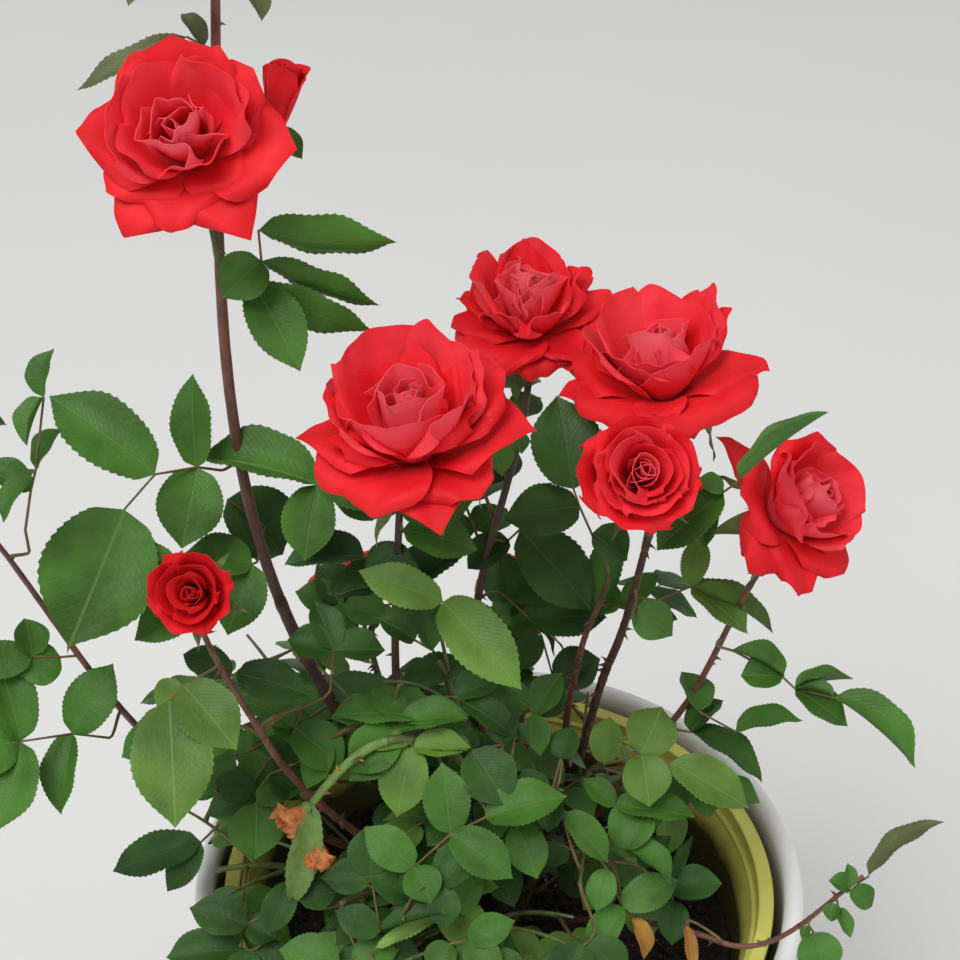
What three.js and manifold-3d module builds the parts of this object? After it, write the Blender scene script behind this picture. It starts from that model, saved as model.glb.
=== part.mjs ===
// A potted rose bush: a white outer pot, a lime inner pot, potting soil, a woody base with its canes,
// masses of compound leaves and red double roses. Millimetres, +Z up, origin under the outer pot.

import * as THREE from "three";
import { mergeVertices } from "three/addons/utils/BufferGeometryUtils.js";
import Module from "manifold-3d";

const wasm = await Module();
wasm.setup();

const DEGREE = Math.PI / 180;
const CLEAR = 0.3;
const SLIVER = 0.05;

// Outer pot: a smooth tapering cachepot with a broad rounded lip.
const OUTER_HEIGHT = 270;
const OUTER_RIM_RADIUS = 150;
const OUTER_FOOT_RADIUS = 106;
const OUTER_LIP = 9.4;
const OUTER_LIP_DEPTH = 13;
const OUTER_LIP_OVERHANG = 3.5;
const OUTER_LIP_ROUND = 5;
const OUTER_FOOT_ROUND = 3;
const OUTER_WALL = 5;
const OUTER_FLOOR = 7;

// Inner pot: a thin plastic pot with a flat rim over a sloping shoulder.
const INNER_RIM_HEIGHT = 263.5;
const INNER_RIM_RADIUS = 136;
const INNER_RIM_WIDTH = 7.6;
const INNER_RIM_DEPTH = 3.5;
const INNER_SHOULDER = 14;
const INNER_FOOT_RADIUS = 92;
const INNER_WALL = 2.6;
const INNER_TAPER_RADIUS = 123;

// Soil: it fills the inner pot to some 40 mm under the rim and lies flat in the middle.
const SOIL_HEIGHT = 222;
const SOIL_EDGE_HEIGHT = 215;
const SOIL_FLAT_RADIUS = 26;
const SOIL_SHOULDER_HEIGHT = 220;
const SOIL_SHOULDER_RADIUS = 68;

const POT_SIDES = 32;

// Woody base: the short swollen stem that every cane springs from.
const BASE_HEIGHT = 40;
const BASE_RADIUS = 17;
const BASE_SIDES = 10;
const FOOT_DEPTH = 0.35;

// Stalks and leaves.
const LIMB_SIDES = 5;
const LIMB_STEPS = 6;
const STEM_SIDES = 4;
const STEM_STEPS = 5;
const RACHIS_STEP = 20;
const RACHIS_RADIUS = 1.8;
const ROOT_DEPTH = 0.4;
const LEAFLET_THICKNESS = 0.9;
const LEAFLET_WIDTH = 0.84;
const LEAFLET_WIDEST = 0.48;
const LEAFLET_FOLD = 0.09;
const RACHIS_TO_LEAFLET = { 1: 0.25, 3: 0.95, 5: 1.35, 7: 1.8 };
const PAIR_SPACING = { 1: 0, 3: 0, 5: 0.38, 7: 0.26 };
const PAIR_SIZE = [0.86, 0.7, 0.56];
const PAIR_SPREAD = 64;
const TOP_PAIR = 0.76;
const GOLDEN_ANGLE = 137.5;

// Room: points on a leaf and along the stalks keep this far apart, and a leaf that finds no room
// is tried again in other headings before it is left out.
const BLADE_ROOM = 5.5;
const STALK_ROOM = 4;
const TRIES = 8;
const SWINGS = [0, 10, -10, 20, -20, 32, -32];
const LIMB_POINTS = 30;
const POT_MARGIN = 5;
const RIM_MARGIN = 4;

// Each leaf draws its seeded numbers from a stream of its own, worked out from its mass's seed.
const PLACED_SEED = 7919;
const PLACED_STEP = 17;
const SEEDED_SEED = 1009;
const SEEDED_STEP = 31;
const TWIG_SEED = 977;
const BLADE_ROWS = [0.2, 0.43, 0.66, 0.92];
const BLADE_COLUMNS = [-0.8, 0, 0.8];

// Roses.
const PETAL_COUNT = 6;
const STALK_RADIUS = 1.9;

const FINISH = {
  outer: { color: 0xe4e4df, roughness: 0.28 },
  inner: { color: 0xc9c94a, roughness: 0.45 },
  soil: { color: 0x2b231d, roughness: 0.95 },
  wood: { color: 0x4a372c, roughness: 0.8 },
  cane: { color: 0x5a3a2c, roughness: 0.6 },
  leaf: { color: 0x2f6a2c, roughness: 0.5 },
  petal: { color: 0xd81e2c, roughness: 0.55 },
  spent: { color: 0xd07a3c, roughness: 0.85 },
};

// Canes. Each runs from its foot on the woody base to a joint, where its leaf mass begins, and the
// mass's stem runs on from the joint to the tip. Headings are [azimuth, elevation] in degrees.
// foot is [azimuth, height]; radii are at the foot, the joint and the tip. A leaf is
// [place along the stem, azimuth, elevation, rachis, terminal leaflet, leaflets, droop, turn, roll].
const CANES = [
  {
    name: "tall", foot: [168, 254], rise: 50, joint: [-99, 7, 438], bend: [165, 74],
    tip: [-107, 40, 768], lean: [80, 84], radii: [3.8, 3.0, 1.8], seed: 11,
    leaves: [
      [0.07, -172, 50, 68, 62, 3, 66, 58, 0], [0.02, 100, 66, 50, 42, 3, -14, 60, 0],
      [0.46, -36, 60, 26, 50, 3, 72, 24, 0], [0.53, -27, 42, 24, 58, 3, 42, 22, 0],
      [0.79, 160, 24, 26, 44, 3, 52, 30, 0], [0.87, -31, 14, 12, 22, 3, 44, -20, 0],
      [0.14, 60, 40, 46, 40, 3, 50, 0, 0], [0.66, 96, 34, 34, 34, 3, 50, 0, 0],
    ],
    seeded: {
      count: 3, from: 0.88, to: 1, size: [18, 26],
      elevation: [35, 60], droop: [30, 60], leaflets: 3,
    },
  },
  {
    name: "left", foot: [180, 244], rise: 36, joint: [-158, -19, 374], bend: [205, 62],
    tip: [-232, -46, 560], lean: [190, 58], radii: [3.4, 2.6, 1.5], seed: 12,
    leaves: [
      [0.02, -138, 52, 54, 46, 5, 54, -14, 0], [0.32, -136, 46, 36, 32, 5, 26, -12, 0],
      [0.6, -45, 84, 46, 46, 5, 12, 20, 40], [0.45, 120, 40, 50, 40, 3, 50, 0, 0],
    ],
    seeded: {
      count: 4, from: 0.66, to: 1, size: [32, 40],
      elevation: [10, 50], droop: [30, 60], leaflets: 3,
    },
  },
  {
    name: "front_left", foot: [222, 246], rise: 52, joint: [-104, -44, 402], bend: [200, 72],
    tip: [-125, -52, 474], lean: [210, 80], radii: [3.2, 2.6, 2.0], seed: 13,
    leaves: [
      [0.72, 176, 62, 34, 34, 3, 44, 20, 0], [0.6, -125, 30, 38, 54, 3, 76, 38, 0],
      [0.72, -96, 64, 24, 28, 3, 60, -50, 0],
    ],
    seeded: {
      count: 3, from: 0, to: 0.5, size: [34, 42],
      elevation: [10, 45], droop: [30, 60], leaflets: 3,
    },
  },
  {
    name: "front", foot: [226, 262], rise: 82, joint: [-47, -2, 380], bend: [120, 84],
    tip: [-42, -18, 530], lean: [-80, 80], radii: [3.2, 2.7, 2.2], seed: 14,
    leaves: [
      [0.75, -160, 50, 46, 54, 3, 28, -8, 0], [0.66, -56, 12, 25, 52, 3, 46, 16, 0],
      [0.58, -110, 14, 18, 36, 3, 14, -60, 0],
    ],
    seeded: {
      count: 4, from: 0.04, to: 0.8, size: [34, 44],
      elevation: [10, 45], droop: [30, 60], leaflets: 3,
    },
  },
  {
    name: "middle", foot: [92, 258], rise: 76, joint: [-12, 32, 398], bend: [60, 85],
    tip: [12, 54, 522], lean: [60, 80], radii: [3.2, 2.7, 2.2], seed: 15,
    leaves: [],
    seeded: {
      count: 6, from: 0, to: 0.8, size: [36, 46],
      elevation: [10, 45], droop: [30, 60], leaflets: 3,
    },
  },
  {
    name: "dark", parent: "stub", parentPlace: 0.72, riseAzimuth: -36, rise: 66, joint: [52, 23, 388],
    bend: [-45, 72], tip: [64, 2, 478], lean: [-60, 76], radii: [3.2, 2.7, 2.2], seed: 16,
    leaves: [
      [0.84, -50, 36, 24, 36, 3, 10, 30, 0], [0.7, -56, 0, 26, 40, 3, 36, 28, 0],
      [0.93, 2, 40, 40, 54, 1, -14, -20, 50],
    ],
    seeded: {
      count: 2, from: 0.1, to: 0.7, size: [34, 42],
      elevation: [10, 45], droop: [30, 60], leaflets: 3,
    },
  },
  {
    name: "red", parent: "stub", parentPlace: 0.9, riseAzimuth: 160, rise: 80, joint: [38, 31, 384],
    bend: [-30, 82], tip: [49, 21, 440], lean: [-40, 80], radii: [2.9, 2.4, 1.8], seed: 17,
    leaves: [
      [0.98, -145, 66, 44, 46, 3, -12, -8, 0], [0.35, -84, 50, 26, 24, 1, 18, 20, 0],
    ],
    seeded: {
      count: 2, from: 0.4, to: 1, size: [38, 48],
      elevation: [10, 45], droop: [30, 60], leaflets: 3,
    },
  },
  {
    name: "right", foot: [-4, 248], rise: 50, joint: [80, 10, 358], bend: [-15, 62],
    tip: [117, 0, 468], lean: [-20, 66], radii: [3.2, 2.7, 2.2], seed: 18,
    leaves: [
      [0.5, -34, 36, 66, 42, 5, 64, 16, 0], [0.02, -10, 16, 30, 38, 3, -4, 8, 0],
      [0.1, -60, 20, 22, 42, 3, 50, 20, 0],
    ],
    seeded: {
      count: 2, from: 0.2, to: 0.9, size: [28, 34],
      elevation: [10, 45], droop: [30, 60], leaflets: 5,
    },
  },
  {
    name: "runner", foot: [-30, 232], rise: 34, joint: [102, -64, 291], bend: [-24, -4],
    tip: [161, -71, 343], lean: [-2, 50], radii: [2.8, 2.2, 1.5], seed: 19,
    leaves: [
      [0.97, 4, 46, 8, 40, 1, 8, 0, 0], [0.9, -110, 30, 20, 22, 3, 60, 0, 0],
      [0.84, 90, 50, 18, 22, 3, 40, 0, 0], [0.6, -80, -10, 24, 26, 3, 40, 10, 0],
      [0.1, -46, -10, 50, 30, 5, 30, 0, 0],
    ],
    seeded: {
      count: 0, from: 0, to: 1, size: [20, 30],
      elevation: [20, 45], droop: [30, 60], leaflets: 5,
    },
  },
  {
    name: "back_left", foot: [144, 246], rise: 44, joint: [-50, 56, 314], bend: [130, 44],
    tip: [-66, 92, 338], lean: [110, 40], radii: [3.2, 2.6, 2.0], seed: 20,
    leaves: [],
    seeded: {
      count: 7, from: 0, to: 0.95, size: [34, 44],
      elevation: [10, 50], droop: [30, 60], leaflets: 3,
    },
  },
  {
    name: "back", foot: [78, 246], rise: 48, joint: [12, 62, 316], bend: [80, 44],
    tip: [18, 98, 338], lean: [80, 40], radii: [3.2, 2.6, 2.0], seed: 21,
    leaves: [],
    seeded: {
      count: 7, from: 0, to: 0.95, size: [34, 44],
      elevation: [10, 50], droop: [30, 60], leaflets: 3,
    },
  },
];

// The pruned stub that the dark and the red cane spring from, cut off flat.
const STUB = { foot: [46, 256], rise: 40, tip: [36, 35, 308], lean: [60, 72], radii: [4.6, 3.8] };

// The old arching stalk that carries the two dried blooms.
const SPENT = {
  foot: [256, 246], rise: 70, joint: [-50, -42, 398], bend: [204, 8],
  tip: [-83, -58, 376], lean: [205, -48],
  radii: [2.6, 2.2, 1.9], blooms: [[-93, -62, 368, 17], [-81, -69, 355, 17]],
};

// Low shoots: leafy stems that spring from the woody base and fill the pot. twigs is how many side
// twigs each one throws.
const SHOOTS = [
  {
    name: "front", foot: [-92, 234], rise: 50,
    tip: [-6, -98, 318], lean: [-92, 8], seed: 31, size: [32, 38],
  },
  {
    name: "front_left", foot: [-122, 234], rise: 54,
    tip: [-72, -76, 330], lean: [-135, 10], seed: 42, size: [32, 38],
  },
  {
    name: "low_left", foot: [-148, 230], rise: 40,
    tip: [-134, -34, 306], lean: [-165, -4], seed: 33, size: [30, 36],
  },
  {
    name: "far_left", foot: [154, 232], rise: 50,
    tip: [-108, 22, 350], lean: [165, 14], seed: 34, size: [32, 40],
  },
  {
    name: "centre", foot: [-64, 258], rise: 72,
    tip: [4, -40, 372], lean: [-90, 40], seed: 35, size: [32, 38],
  },
  {
    name: "centre_left", foot: [205, 253], rise: 60,
    tip: [-64, -26, 392], lean: [-150, 52], seed: 36, size: [34, 40],
  },
  {
    name: "top", foot: [144, 262], rise: 84,
    tip: [-28, 6, 402], lean: [150, 64], seed: 49, size: [34, 42],
  },
  {
    name: "right", foot: [10, 229], rise: 56,
    tip: [58, 22, 326], lean: [0, 24], seed: 37, size: [28, 36],
  },
  {
    name: "front_right", foot: [-44, 252], rise: 56,
    tip: [50, -50, 330], lean: [-45, 16], seed: 38, size: [26, 32],
  },
];
const SHOOT_LEAVES = { count: 6, from: 0, to: 1, elevation: [4, 44], droop: [16, 50], leaflets: 3 };
const SHOOT_RADII = [2.1, 1.4];
const SHOOT_TWIGS = 2;
const TWIG_SHARE = 0.42;
const TWIG_FIRST = 0.42;
const TWIG_SPACING = 0.28;
const TWIG_BEND = 34;
const TWIG_RADII = [1.5, 1.0];
const TWIG_SIDES = 3;

// Where a shoot's leaves sit, in the order they are placed: stalk (0 is the stem) and place along it.
const SHOOT_SPOTS = [[0, 1], [1, 1], [2, 1], [0, 0.78], [1, 0.5], [2, 0.5], [0, 0.55]];

// Blooms. on names the mass whose stem carries it; place is how far along that stem its stalk leaves,
// 1 at the tip. facing is the heading of the flower's axis and open tells how far the petals spread.
const BLOOMS = [
  {
    name: "rose_top_left", on: "tall", place: 0.5, centre: [-120, -8, 677],
    facing: [-92, 38], width: 84, open: 1,
  },
  {
    name: "bud_top_left", on: "tall", place: 0.58, centre: [-85, 25, 674],
    facing: [40, 72], width: 17, open: 0,
  },
  {
    name: "bud_tip", on: "tall", place: 1, centre: [-106, 26, 790],
    facing: [60, 84], width: 13, open: 0,
  },
  {
    name: "rose_back_middle", on: "middle", place: 1, centre: [12, 72, 557],
    facing: [-100, 74], width: 76, open: 0.8,
  },
  {
    name: "rose_right_middle", on: "dark", place: 0.9, centre: [67, 32, 553],
    facing: [170, 74], width: 90, open: 1,
  },
  {
    name: "rose_front_middle", on: "front", place: 1, centre: [-38, -30, 566],
    facing: [-115, 62], width: 96, open: 1,
  },
  {
    name: "rose_small_right", on: "dark", place: 1, centre: [54, -36, 539],
    facing: [-88, 38], width: 51, open: 0.45,
  },
  {
    name: "rose_right", on: "right", place: 1, centre: [133, 6, 495],
    facing: [-30, 44], width: 74, open: 0.85,
  },
  {
    name: "rose_bud_left", on: "front_left", place: 1, centre: [-127, -60, 497],
    facing: [-95, 42], width: 38, open: 0.2,
  },
  {
    name: "rose_far_left", on: "left", place: 1, centre: [-240, -50, 590],
    facing: [190, 60], width: 44, open: 0.3,
  },
  {
    name: "rose_back", on: "back", place: 1, centre: [16, 130, 346],
    facing: [80, 46], width: 62, open: 0.8,
  },
  {
    name: "rose_back_left", on: "back_left", place: 1, centre: [-72, 114, 360],
    facing: [125, 50], width: 50, open: 0.5,
  },
];

// Seeded numbers, the same on every run.
class Seeded {
  constructor(seed) {
    this.state = seed >>> 0;
    this.next();
  }

  next() {
    this.state = (Math.imul(this.state, 1664525) + 1013904223) >>> 0;
    return this.state / 4294967296;
  }

  between(low, high) {
    return low + (high - low) * this.next();
  }
}

function point(values) {
  return new THREE.Vector3(values[0], values[1], values[2]);
}

function heading(azimuth, elevation) {
  const level = Math.cos(elevation * DEGREE);
  return new THREE.Vector3(
    level * Math.cos(azimuth * DEGREE),
    level * Math.sin(azimuth * DEGREE),
    Math.sin(elevation * DEGREE),
  );
}

// A limb's centre line: a cubic curve with a heading at either end.
function limbCurve(start, startHeading, end, endHeading) {
  const reach = start.distanceTo(end) / 3;
  return new THREE.CubicBezierCurve3(
    start,
    start.clone().addScaledVector(startHeading, reach),
    end.clone().addScaledVector(endHeading, -reach),
    end,
  );
}

// Closed triangle mesh from vertices and faces.
function meshOf(vertices, faces) {
  const geometry = new THREE.BufferGeometry();
  const places = vertices.flatMap((vertex) => [vertex.x, vertex.y, vertex.z]);
  geometry.setAttribute("position", new THREE.Float32BufferAttribute(places, 3));
  geometry.setIndex(faces.flat());
  return geometry;
}

function solidOf(geometry) {
  const bare = geometry.clone();
  bare.deleteAttribute("normal");
  bare.deleteAttribute("uv");
  const merged = mergeVertices(bare, 1e-4);
  const mesh = new wasm.Mesh({
    numProp: 3,
    vertProperties: new Float32Array(merged.attributes.position.array),
    triVerts: new Uint32Array(merged.index.array),
  });
  return new wasm.Manifold(mesh);
}

// The largest closed body of a solid; loose scraps are dropped.
function largestBody(solid) {
  const bodies = solid.decompose();
  bodies.sort((a, b) => b.volume() - a.volume());
  return bodies[0];
}

// Slivers that joining leaves are merged, which moves no face by more than the tolerance.
function geometryOf(solid) {
  const mesh = solid.asOriginal().simplify(SLIVER).getMesh();
  const geometry = new THREE.BufferGeometry();
  geometry.setAttribute("position", new THREE.BufferAttribute(Float32Array.from(mesh.vertProperties), 3));
  geometry.setIndex(new THREE.BufferAttribute(Uint32Array.from(mesh.triVerts), 1));
  geometry.computeVertexNormals();
  return geometry;
}

// Tapering tube along a curve from one place to another, with flat ends square to the curve.
function taperedTube(curve, from, to, radiusFrom, radiusTo, sides, steps) {
  const vertices = [];
  const faces = [];
  let across = new THREE.Vector3();
  for (let step = 0; step <= steps; step += 1) {
    const share = step / steps;
    const place = from + (to - from) * share;
    const along = curve.getTangent(place);
    if (step === 0) {
      const helper = Math.abs(along.z) < 0.9 ? new THREE.Vector3(0, 0, 1) : new THREE.Vector3(1, 0, 0);
      across = helper.cross(along).normalize();
    }
    across.addScaledVector(along, -across.dot(along)).normalize();
    const third = along.clone().cross(across);
    const centre = curve.getPoint(place);
    const radius = radiusFrom + (radiusTo - radiusFrom) * share;
    for (let side = 0; side < sides; side += 1) {
      const angle = (side / sides) * 2 * Math.PI;
      const spoke = across.clone().multiplyScalar(Math.cos(angle)).addScaledVector(third, Math.sin(angle));
      vertices.push(centre.clone().addScaledVector(spoke, radius));
    }
  }
  for (let step = 0; step < steps; step += 1) {
    for (let side = 0; side < sides; side += 1) {
      const a = step * sides + side;
      const b = step * sides + ((side + 1) % sides);
      faces.push([a, b, b + sides], [a, b + sides, a + sides]);
    }
  }
  for (let side = 1; side < sides - 1; side += 1) {
    const top = steps * sides;
    faces.push([0, side + 1, side], [top, top + side, top + side + 1]);
  }
  return solidOf(meshOf(vertices, faces));
}

// Pots and soil are turned profiles.
function turned(profile, sides = POT_SIDES) {
  const outline = profile.map(([radius, height]) => new THREE.Vector2(radius, height));
  const lathe = new THREE.LatheGeometry(outline, sides);
  lathe.rotateX(Math.PI / 2);
  return solidOf(lathe);
}

function outerPot() {
  const shoulder = OUTER_HEIGHT - OUTER_LIP_DEPTH;
  const inside = OUTER_RIM_RADIUS - OUTER_LIP;
  return turned([
    [0, 0],
    [OUTER_FOOT_RADIUS - OUTER_FOOT_ROUND, 0],
    [OUTER_FOOT_RADIUS, OUTER_FOOT_ROUND],
    [OUTER_RIM_RADIUS - OUTER_LIP_OVERHANG, shoulder],
    [OUTER_RIM_RADIUS, OUTER_HEIGHT - OUTER_LIP_ROUND],
    [OUTER_RIM_RADIUS - OUTER_LIP / 2, OUTER_HEIGHT],
    [inside, OUTER_HEIGHT - OUTER_LIP_ROUND],
    [OUTER_RIM_RADIUS - OUTER_LIP_OVERHANG - OUTER_WALL, shoulder - OUTER_LIP_ROUND],
    [OUTER_FOOT_RADIUS - OUTER_WALL, OUTER_FLOOR],
    [0, OUTER_FLOOR],
  ]);
}

const innerFloorTop = OUTER_FLOOR + CLEAR + INNER_WALL;
const innerTaperTop = INNER_RIM_HEIGHT - INNER_SHOULDER;

function innerPot() {
  const bottom = OUTER_FLOOR + CLEAR;
  const mouth = INNER_RIM_RADIUS - INNER_RIM_WIDTH;
  return turned([
    [0, bottom],
    [INNER_FOOT_RADIUS, bottom],
    [INNER_TAPER_RADIUS + INNER_WALL, innerTaperTop],
    [mouth + INNER_WALL, INNER_RIM_HEIGHT - INNER_RIM_DEPTH],
    [INNER_RIM_RADIUS, INNER_RIM_HEIGHT - INNER_RIM_DEPTH],
    [INNER_RIM_RADIUS, INNER_RIM_HEIGHT],
    [mouth, INNER_RIM_HEIGHT],
    [INNER_TAPER_RADIUS, innerTaperTop],
    [INNER_FOOT_RADIUS - INNER_WALL, innerFloorTop],
    [0, innerFloorTop],
  ]);
}

// The inner wall's radius at a height, less the small clearance that the soil keeps.
function soilRadius(height) {
  const share = (height - innerFloorTop) / (innerTaperTop - innerFloorTop);
  const foot = INNER_FOOT_RADIUS - INNER_WALL;
  return foot + (INNER_TAPER_RADIUS - foot) * share - CLEAR;
}

function pottingSoil() {
  const bottom = innerFloorTop + CLEAR;
  return turned([
    [0, bottom],
    [soilRadius(bottom), bottom],
    [soilRadius(SOIL_EDGE_HEIGHT), SOIL_EDGE_HEIGHT],
    [SOIL_SHOULDER_RADIUS, SOIL_SHOULDER_HEIGHT],
    [SOIL_FLAT_RADIUS, SOIL_HEIGHT],
    [0, SOIL_HEIGHT],
  ]);
}

// The woody base, a little larger all round where it is used to cut a cane's foot.
function woodyBase(grown = 0) {
  const floor = SOIL_HEIGHT + CLEAR;
  return turned([
    [0, floor - grown],
    [BASE_RADIUS + grown, floor - grown],
    [BASE_RADIUS * 0.86 + grown, floor + BASE_HEIGHT * 0.2],
    [BASE_RADIUS * 0.9 + grown, floor + BASE_HEIGHT * 0.55],
    [BASE_RADIUS * 0.72 + grown, floor + BASE_HEIGHT * 0.85 + grown / 2],
    [BASE_RADIUS * 0.3 + grown, floor + BASE_HEIGHT + grown],
    [0, floor + BASE_HEIGHT + grown],
  ], BASE_SIDES);
}

// A foot starts inside the base, under its surface at the given azimuth and height.
function footPoint([azimuth, height]) {
  const inside = BASE_RADIUS * FOOT_DEPTH;
  return new THREE.Vector3(inside * Math.cos(azimuth * DEGREE), inside * Math.sin(azimuth * DEGREE), height);
}

// One compound leaf: the rachis bends by its droop and turn, and leaflets sit in pairs below the
// terminal one. Each leaflet is a base, a direction, the blade's normal and a length.
function planLeaf(base, leaf, random) {
  const { azimuth, elevation, rachis, size, leaflets, droop, turn, roll } = leaf;
  const places = [base.clone()];
  const frames = [];
  const steps = Math.max(2, Math.min(4, Math.ceil(rachis / RACHIS_STEP)));
  for (let step = 0; step < steps; step += 1) {
    const share = (step + 0.5) / steps;
    const along = heading(azimuth + turn * share, elevation - droop * share);
    places.push(places[step].clone().addScaledVector(along, rachis / steps));
    const lift = heading(azimuth + turn * share, elevation - droop * share + 90);
    const side = along.clone().cross(lift);
    const cos = Math.cos(roll * DEGREE);
    const sin = Math.sin(roll * DEGREE);
    const normal = lift.clone().multiplyScalar(cos).addScaledVector(side, sin);
    frames.push({ along, normal, side: along.clone().cross(normal) });
  }
  const blades = [];
  const addBlade = (place, spread, length) => {
    const index = Math.min(steps - 1, Math.floor(place * steps));
    const { along, normal, side } = frames[index];
    const angle = (spread + random.between(-8, 8)) * DEGREE;
    const tilt = random.between(0.02, 0.3);
    const direction = along.clone().multiplyScalar(Math.cos(angle)).addScaledVector(side, Math.sin(angle));
    direction.addScaledVector(normal, -tilt).normalize();
    const blade = normal.clone().addScaledVector(direction, -normal.dot(direction)).normalize();
    const start = places[index].clone().lerp(places[index + 1], place * steps - index);
    start.addScaledVector(direction, -ROOT_DEPTH);
    blades.push({ base: start, direction, normal: blade, length: length + ROOT_DEPTH });
  };
  addBlade(1, 0, size);
  const pairs = (leaflets - 1) / 2;
  for (let pair = 0; pair < pairs; pair += 1) {
    const place = TOP_PAIR - pair * PAIR_SPACING[leaflets];
    addBlade(place, PAIR_SPREAD, size * PAIR_SIZE[pair]);
    addBlade(place, -PAIR_SPREAD, size * PAIR_SIZE[pair]);
  }
  return { places, blades };
}

// A leaflet as a thin lens of eight faces, folded up a little along its midrib.
function leafletSolid({ base, direction, normal, length }) {
  const side = direction.clone().cross(normal);
  const width = length * LEAFLET_WIDTH;
  const thickness = Math.max(LEAFLET_THICKNESS, length / 50);
  const middle = base.clone().addScaledVector(direction, length * LEAFLET_WIDEST);
  const vertices = [
    base.clone(),
    base.clone().addScaledVector(direction, length),
    middle.clone().addScaledVector(side, width / 2).addScaledVector(normal, width * LEAFLET_FOLD),
    middle.clone().addScaledVector(side, -width / 2).addScaledVector(normal, width * LEAFLET_FOLD),
    middle.clone().addScaledVector(normal, thickness / 2),
    middle.clone().addScaledVector(normal, -thickness / 2),
  ];
  const faces = [
    [0, 4, 2], [2, 4, 1], [1, 4, 3], [3, 4, 0],
    [0, 2, 5], [2, 1, 5], [1, 3, 5], [3, 0, 5],
  ];
  return solidFrom(vertices, faces);
}

function solidFrom(vertices, faces) {
  const solid = solidOf(meshOf(vertices, faces));
  if (solid.volume() > 0) {
    return solid;
  }
  return solidOf(meshOf(vertices, faces.map(([a, b, c]) => [a, c, b])));
}

function rachisSolid(places) {
  const path = new THREE.CurvePath();
  for (let index = 1; index < places.length; index += 1) {
    path.add(new THREE.LineCurve3(places[index - 1], places[index]));
  }
  return taperedTube(path, 0, 1, RACHIS_RADIUS, RACHIS_RADIUS * 0.7, 3, places.length - 1);
}

// Placed solids, kept with their boxes so that a new piece is tested only against its neighbours.
const placed = [];

function keep(solid, owner) {
  placed.push({ solid, owner, box: solid.boundingBox() });
}

function isClear(solid, ignoredOwners, gap = CLEAR + 0.1) {
  const box = solid.boundingBox();
  return placed.every((other) => {
    if (ignoredOwners.includes(other.owner)) {
      return true;
    }
    for (let axis = 0; axis < 3; axis += 1) {
      if (box.min[axis] - gap > other.box.max[axis] || box.max[axis] + gap < other.box.min[axis]) {
        return true;
      }
    }
    return solid.minGap(other.solid, gap * 2) >= gap;
  });
}

// The rule that keeps leaves apart, and clear of the stalks and the pots: both are held as points.
const bladePoints = [];
const stalkPoints = [];

function pointsOnBlade({ base, direction, normal, length }) {
  const side = direction.clone().cross(normal);
  const points = [];
  for (const row of BLADE_ROWS) {
    const halfWidth = (length * LEAFLET_WIDTH * (1 - Math.abs(row - LEAFLET_WIDEST) / 0.6)) / 2;
    for (const column of BLADE_COLUMNS) {
      const place = base.clone().addScaledVector(direction, row * length);
      points.push(place.addScaledVector(side, column * halfWidth));
    }
  }
  return points;
}

// True where a point is in or close to the pots or the soil.
function inPots(place) {
  const reach = Math.hypot(place.x, place.y);
  if (place.z > OUTER_HEIGHT + RIM_MARGIN) {
    return false;
  }
  const overRim = reach > INNER_TAPER_RADIUS - POT_MARGIN && reach < OUTER_RIM_RADIUS + POT_MARGIN;
  return place.z < SOIL_HEIGHT + POT_MARGIN || overRim;
}

function anyNear(places, others, distance, ignored) {
  return others.some((other) => other.owner !== ignored
    && places.some((place) => place.distanceToSquared(other.place) < distance * distance));
}

function hasRoom(plan, name) {
  const rachis = plan.places.slice(1);
  const blades = plan.blades.flatMap(pointsOnBlade);
  if ([...rachis, ...blades].some(inPots)) {
    return false;
  }
  return !anyNear(blades, bladePoints, BLADE_ROOM)
    && !anyNear(blades, stalkPoints, STALK_ROOM)
    && !anyNear(rachis, bladePoints, STALK_ROOM)
    && !anyNear(rachis, stalkPoints, STALK_ROOM, name);
}

function noteLeaf(plan, name) {
  for (const place of plan.blades.flatMap(pointsOnBlade)) {
    bladePoints.push({ place });
  }
  for (const place of plan.places) {
    stalkPoints.push({ place, owner: name });
  }
}

function noteStalk(curve, owner) {
  for (const place of curve.getPoints(LIMB_POINTS)) {
    stalkPoints.push({ place, owner });
  }
}

const sources = new Map();
const model = new THREE.Group();
model.name = "potted_rose_bush";

function addNode(name, solid, finish) {
  const material = new THREE.MeshStandardMaterial({ ...finish, metalness: 0 });
  const mesh = new THREE.Mesh(geometryOf(solid), material);
  mesh.name = name;
  model.add(mesh);
}

addNode("outer_pot", outerPot(), FINISH.outer);
addNode("inner_pot", innerPot(), FINISH.inner);
addNode("potting_soil", pottingSoil(), FINISH.soil);
addNode("woody_base", woodyBase(), FINISH.wood);
keep(outerPot(), "outer_pot");
keep(innerPot(), "inner_pot");
keep(pottingSoil(), "potting_soil");
keep(woodyBase(), "woody_base");

const baseCutter = woodyBase(CLEAR * 1.4);

// A bare limb from its foot to its joint, its foot cut to sit against what carries it.
function addLimb(name, curve, radii, cutter) {
  const tube = taperedTube(curve, 0, 1, radii[0], radii[1], LIMB_SIDES, LIMB_STEPS);
  const solid = largestBody(tube.subtract(cutter));
  addNode(name, solid, FINISH.cane);
  keep(solid, name);
  noteStalk(curve, name);
}

// A limb grown by the clearance all round and past its tip, to cut the foot of what springs from it.
function grownTube(curve, radii, sides, steps) {
  const end = curve.getPoint(1).addScaledVector(curve.getTangent(1), CLEAR * 2);
  const longer = limbCurve(curve.getPoint(0), curve.getTangent(0), end, curve.getTangent(1));
  return taperedTube(longer, 0, 1, radii[0] + CLEAR * 2, radii[1] + CLEAR * 2, sides, steps);
}

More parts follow.
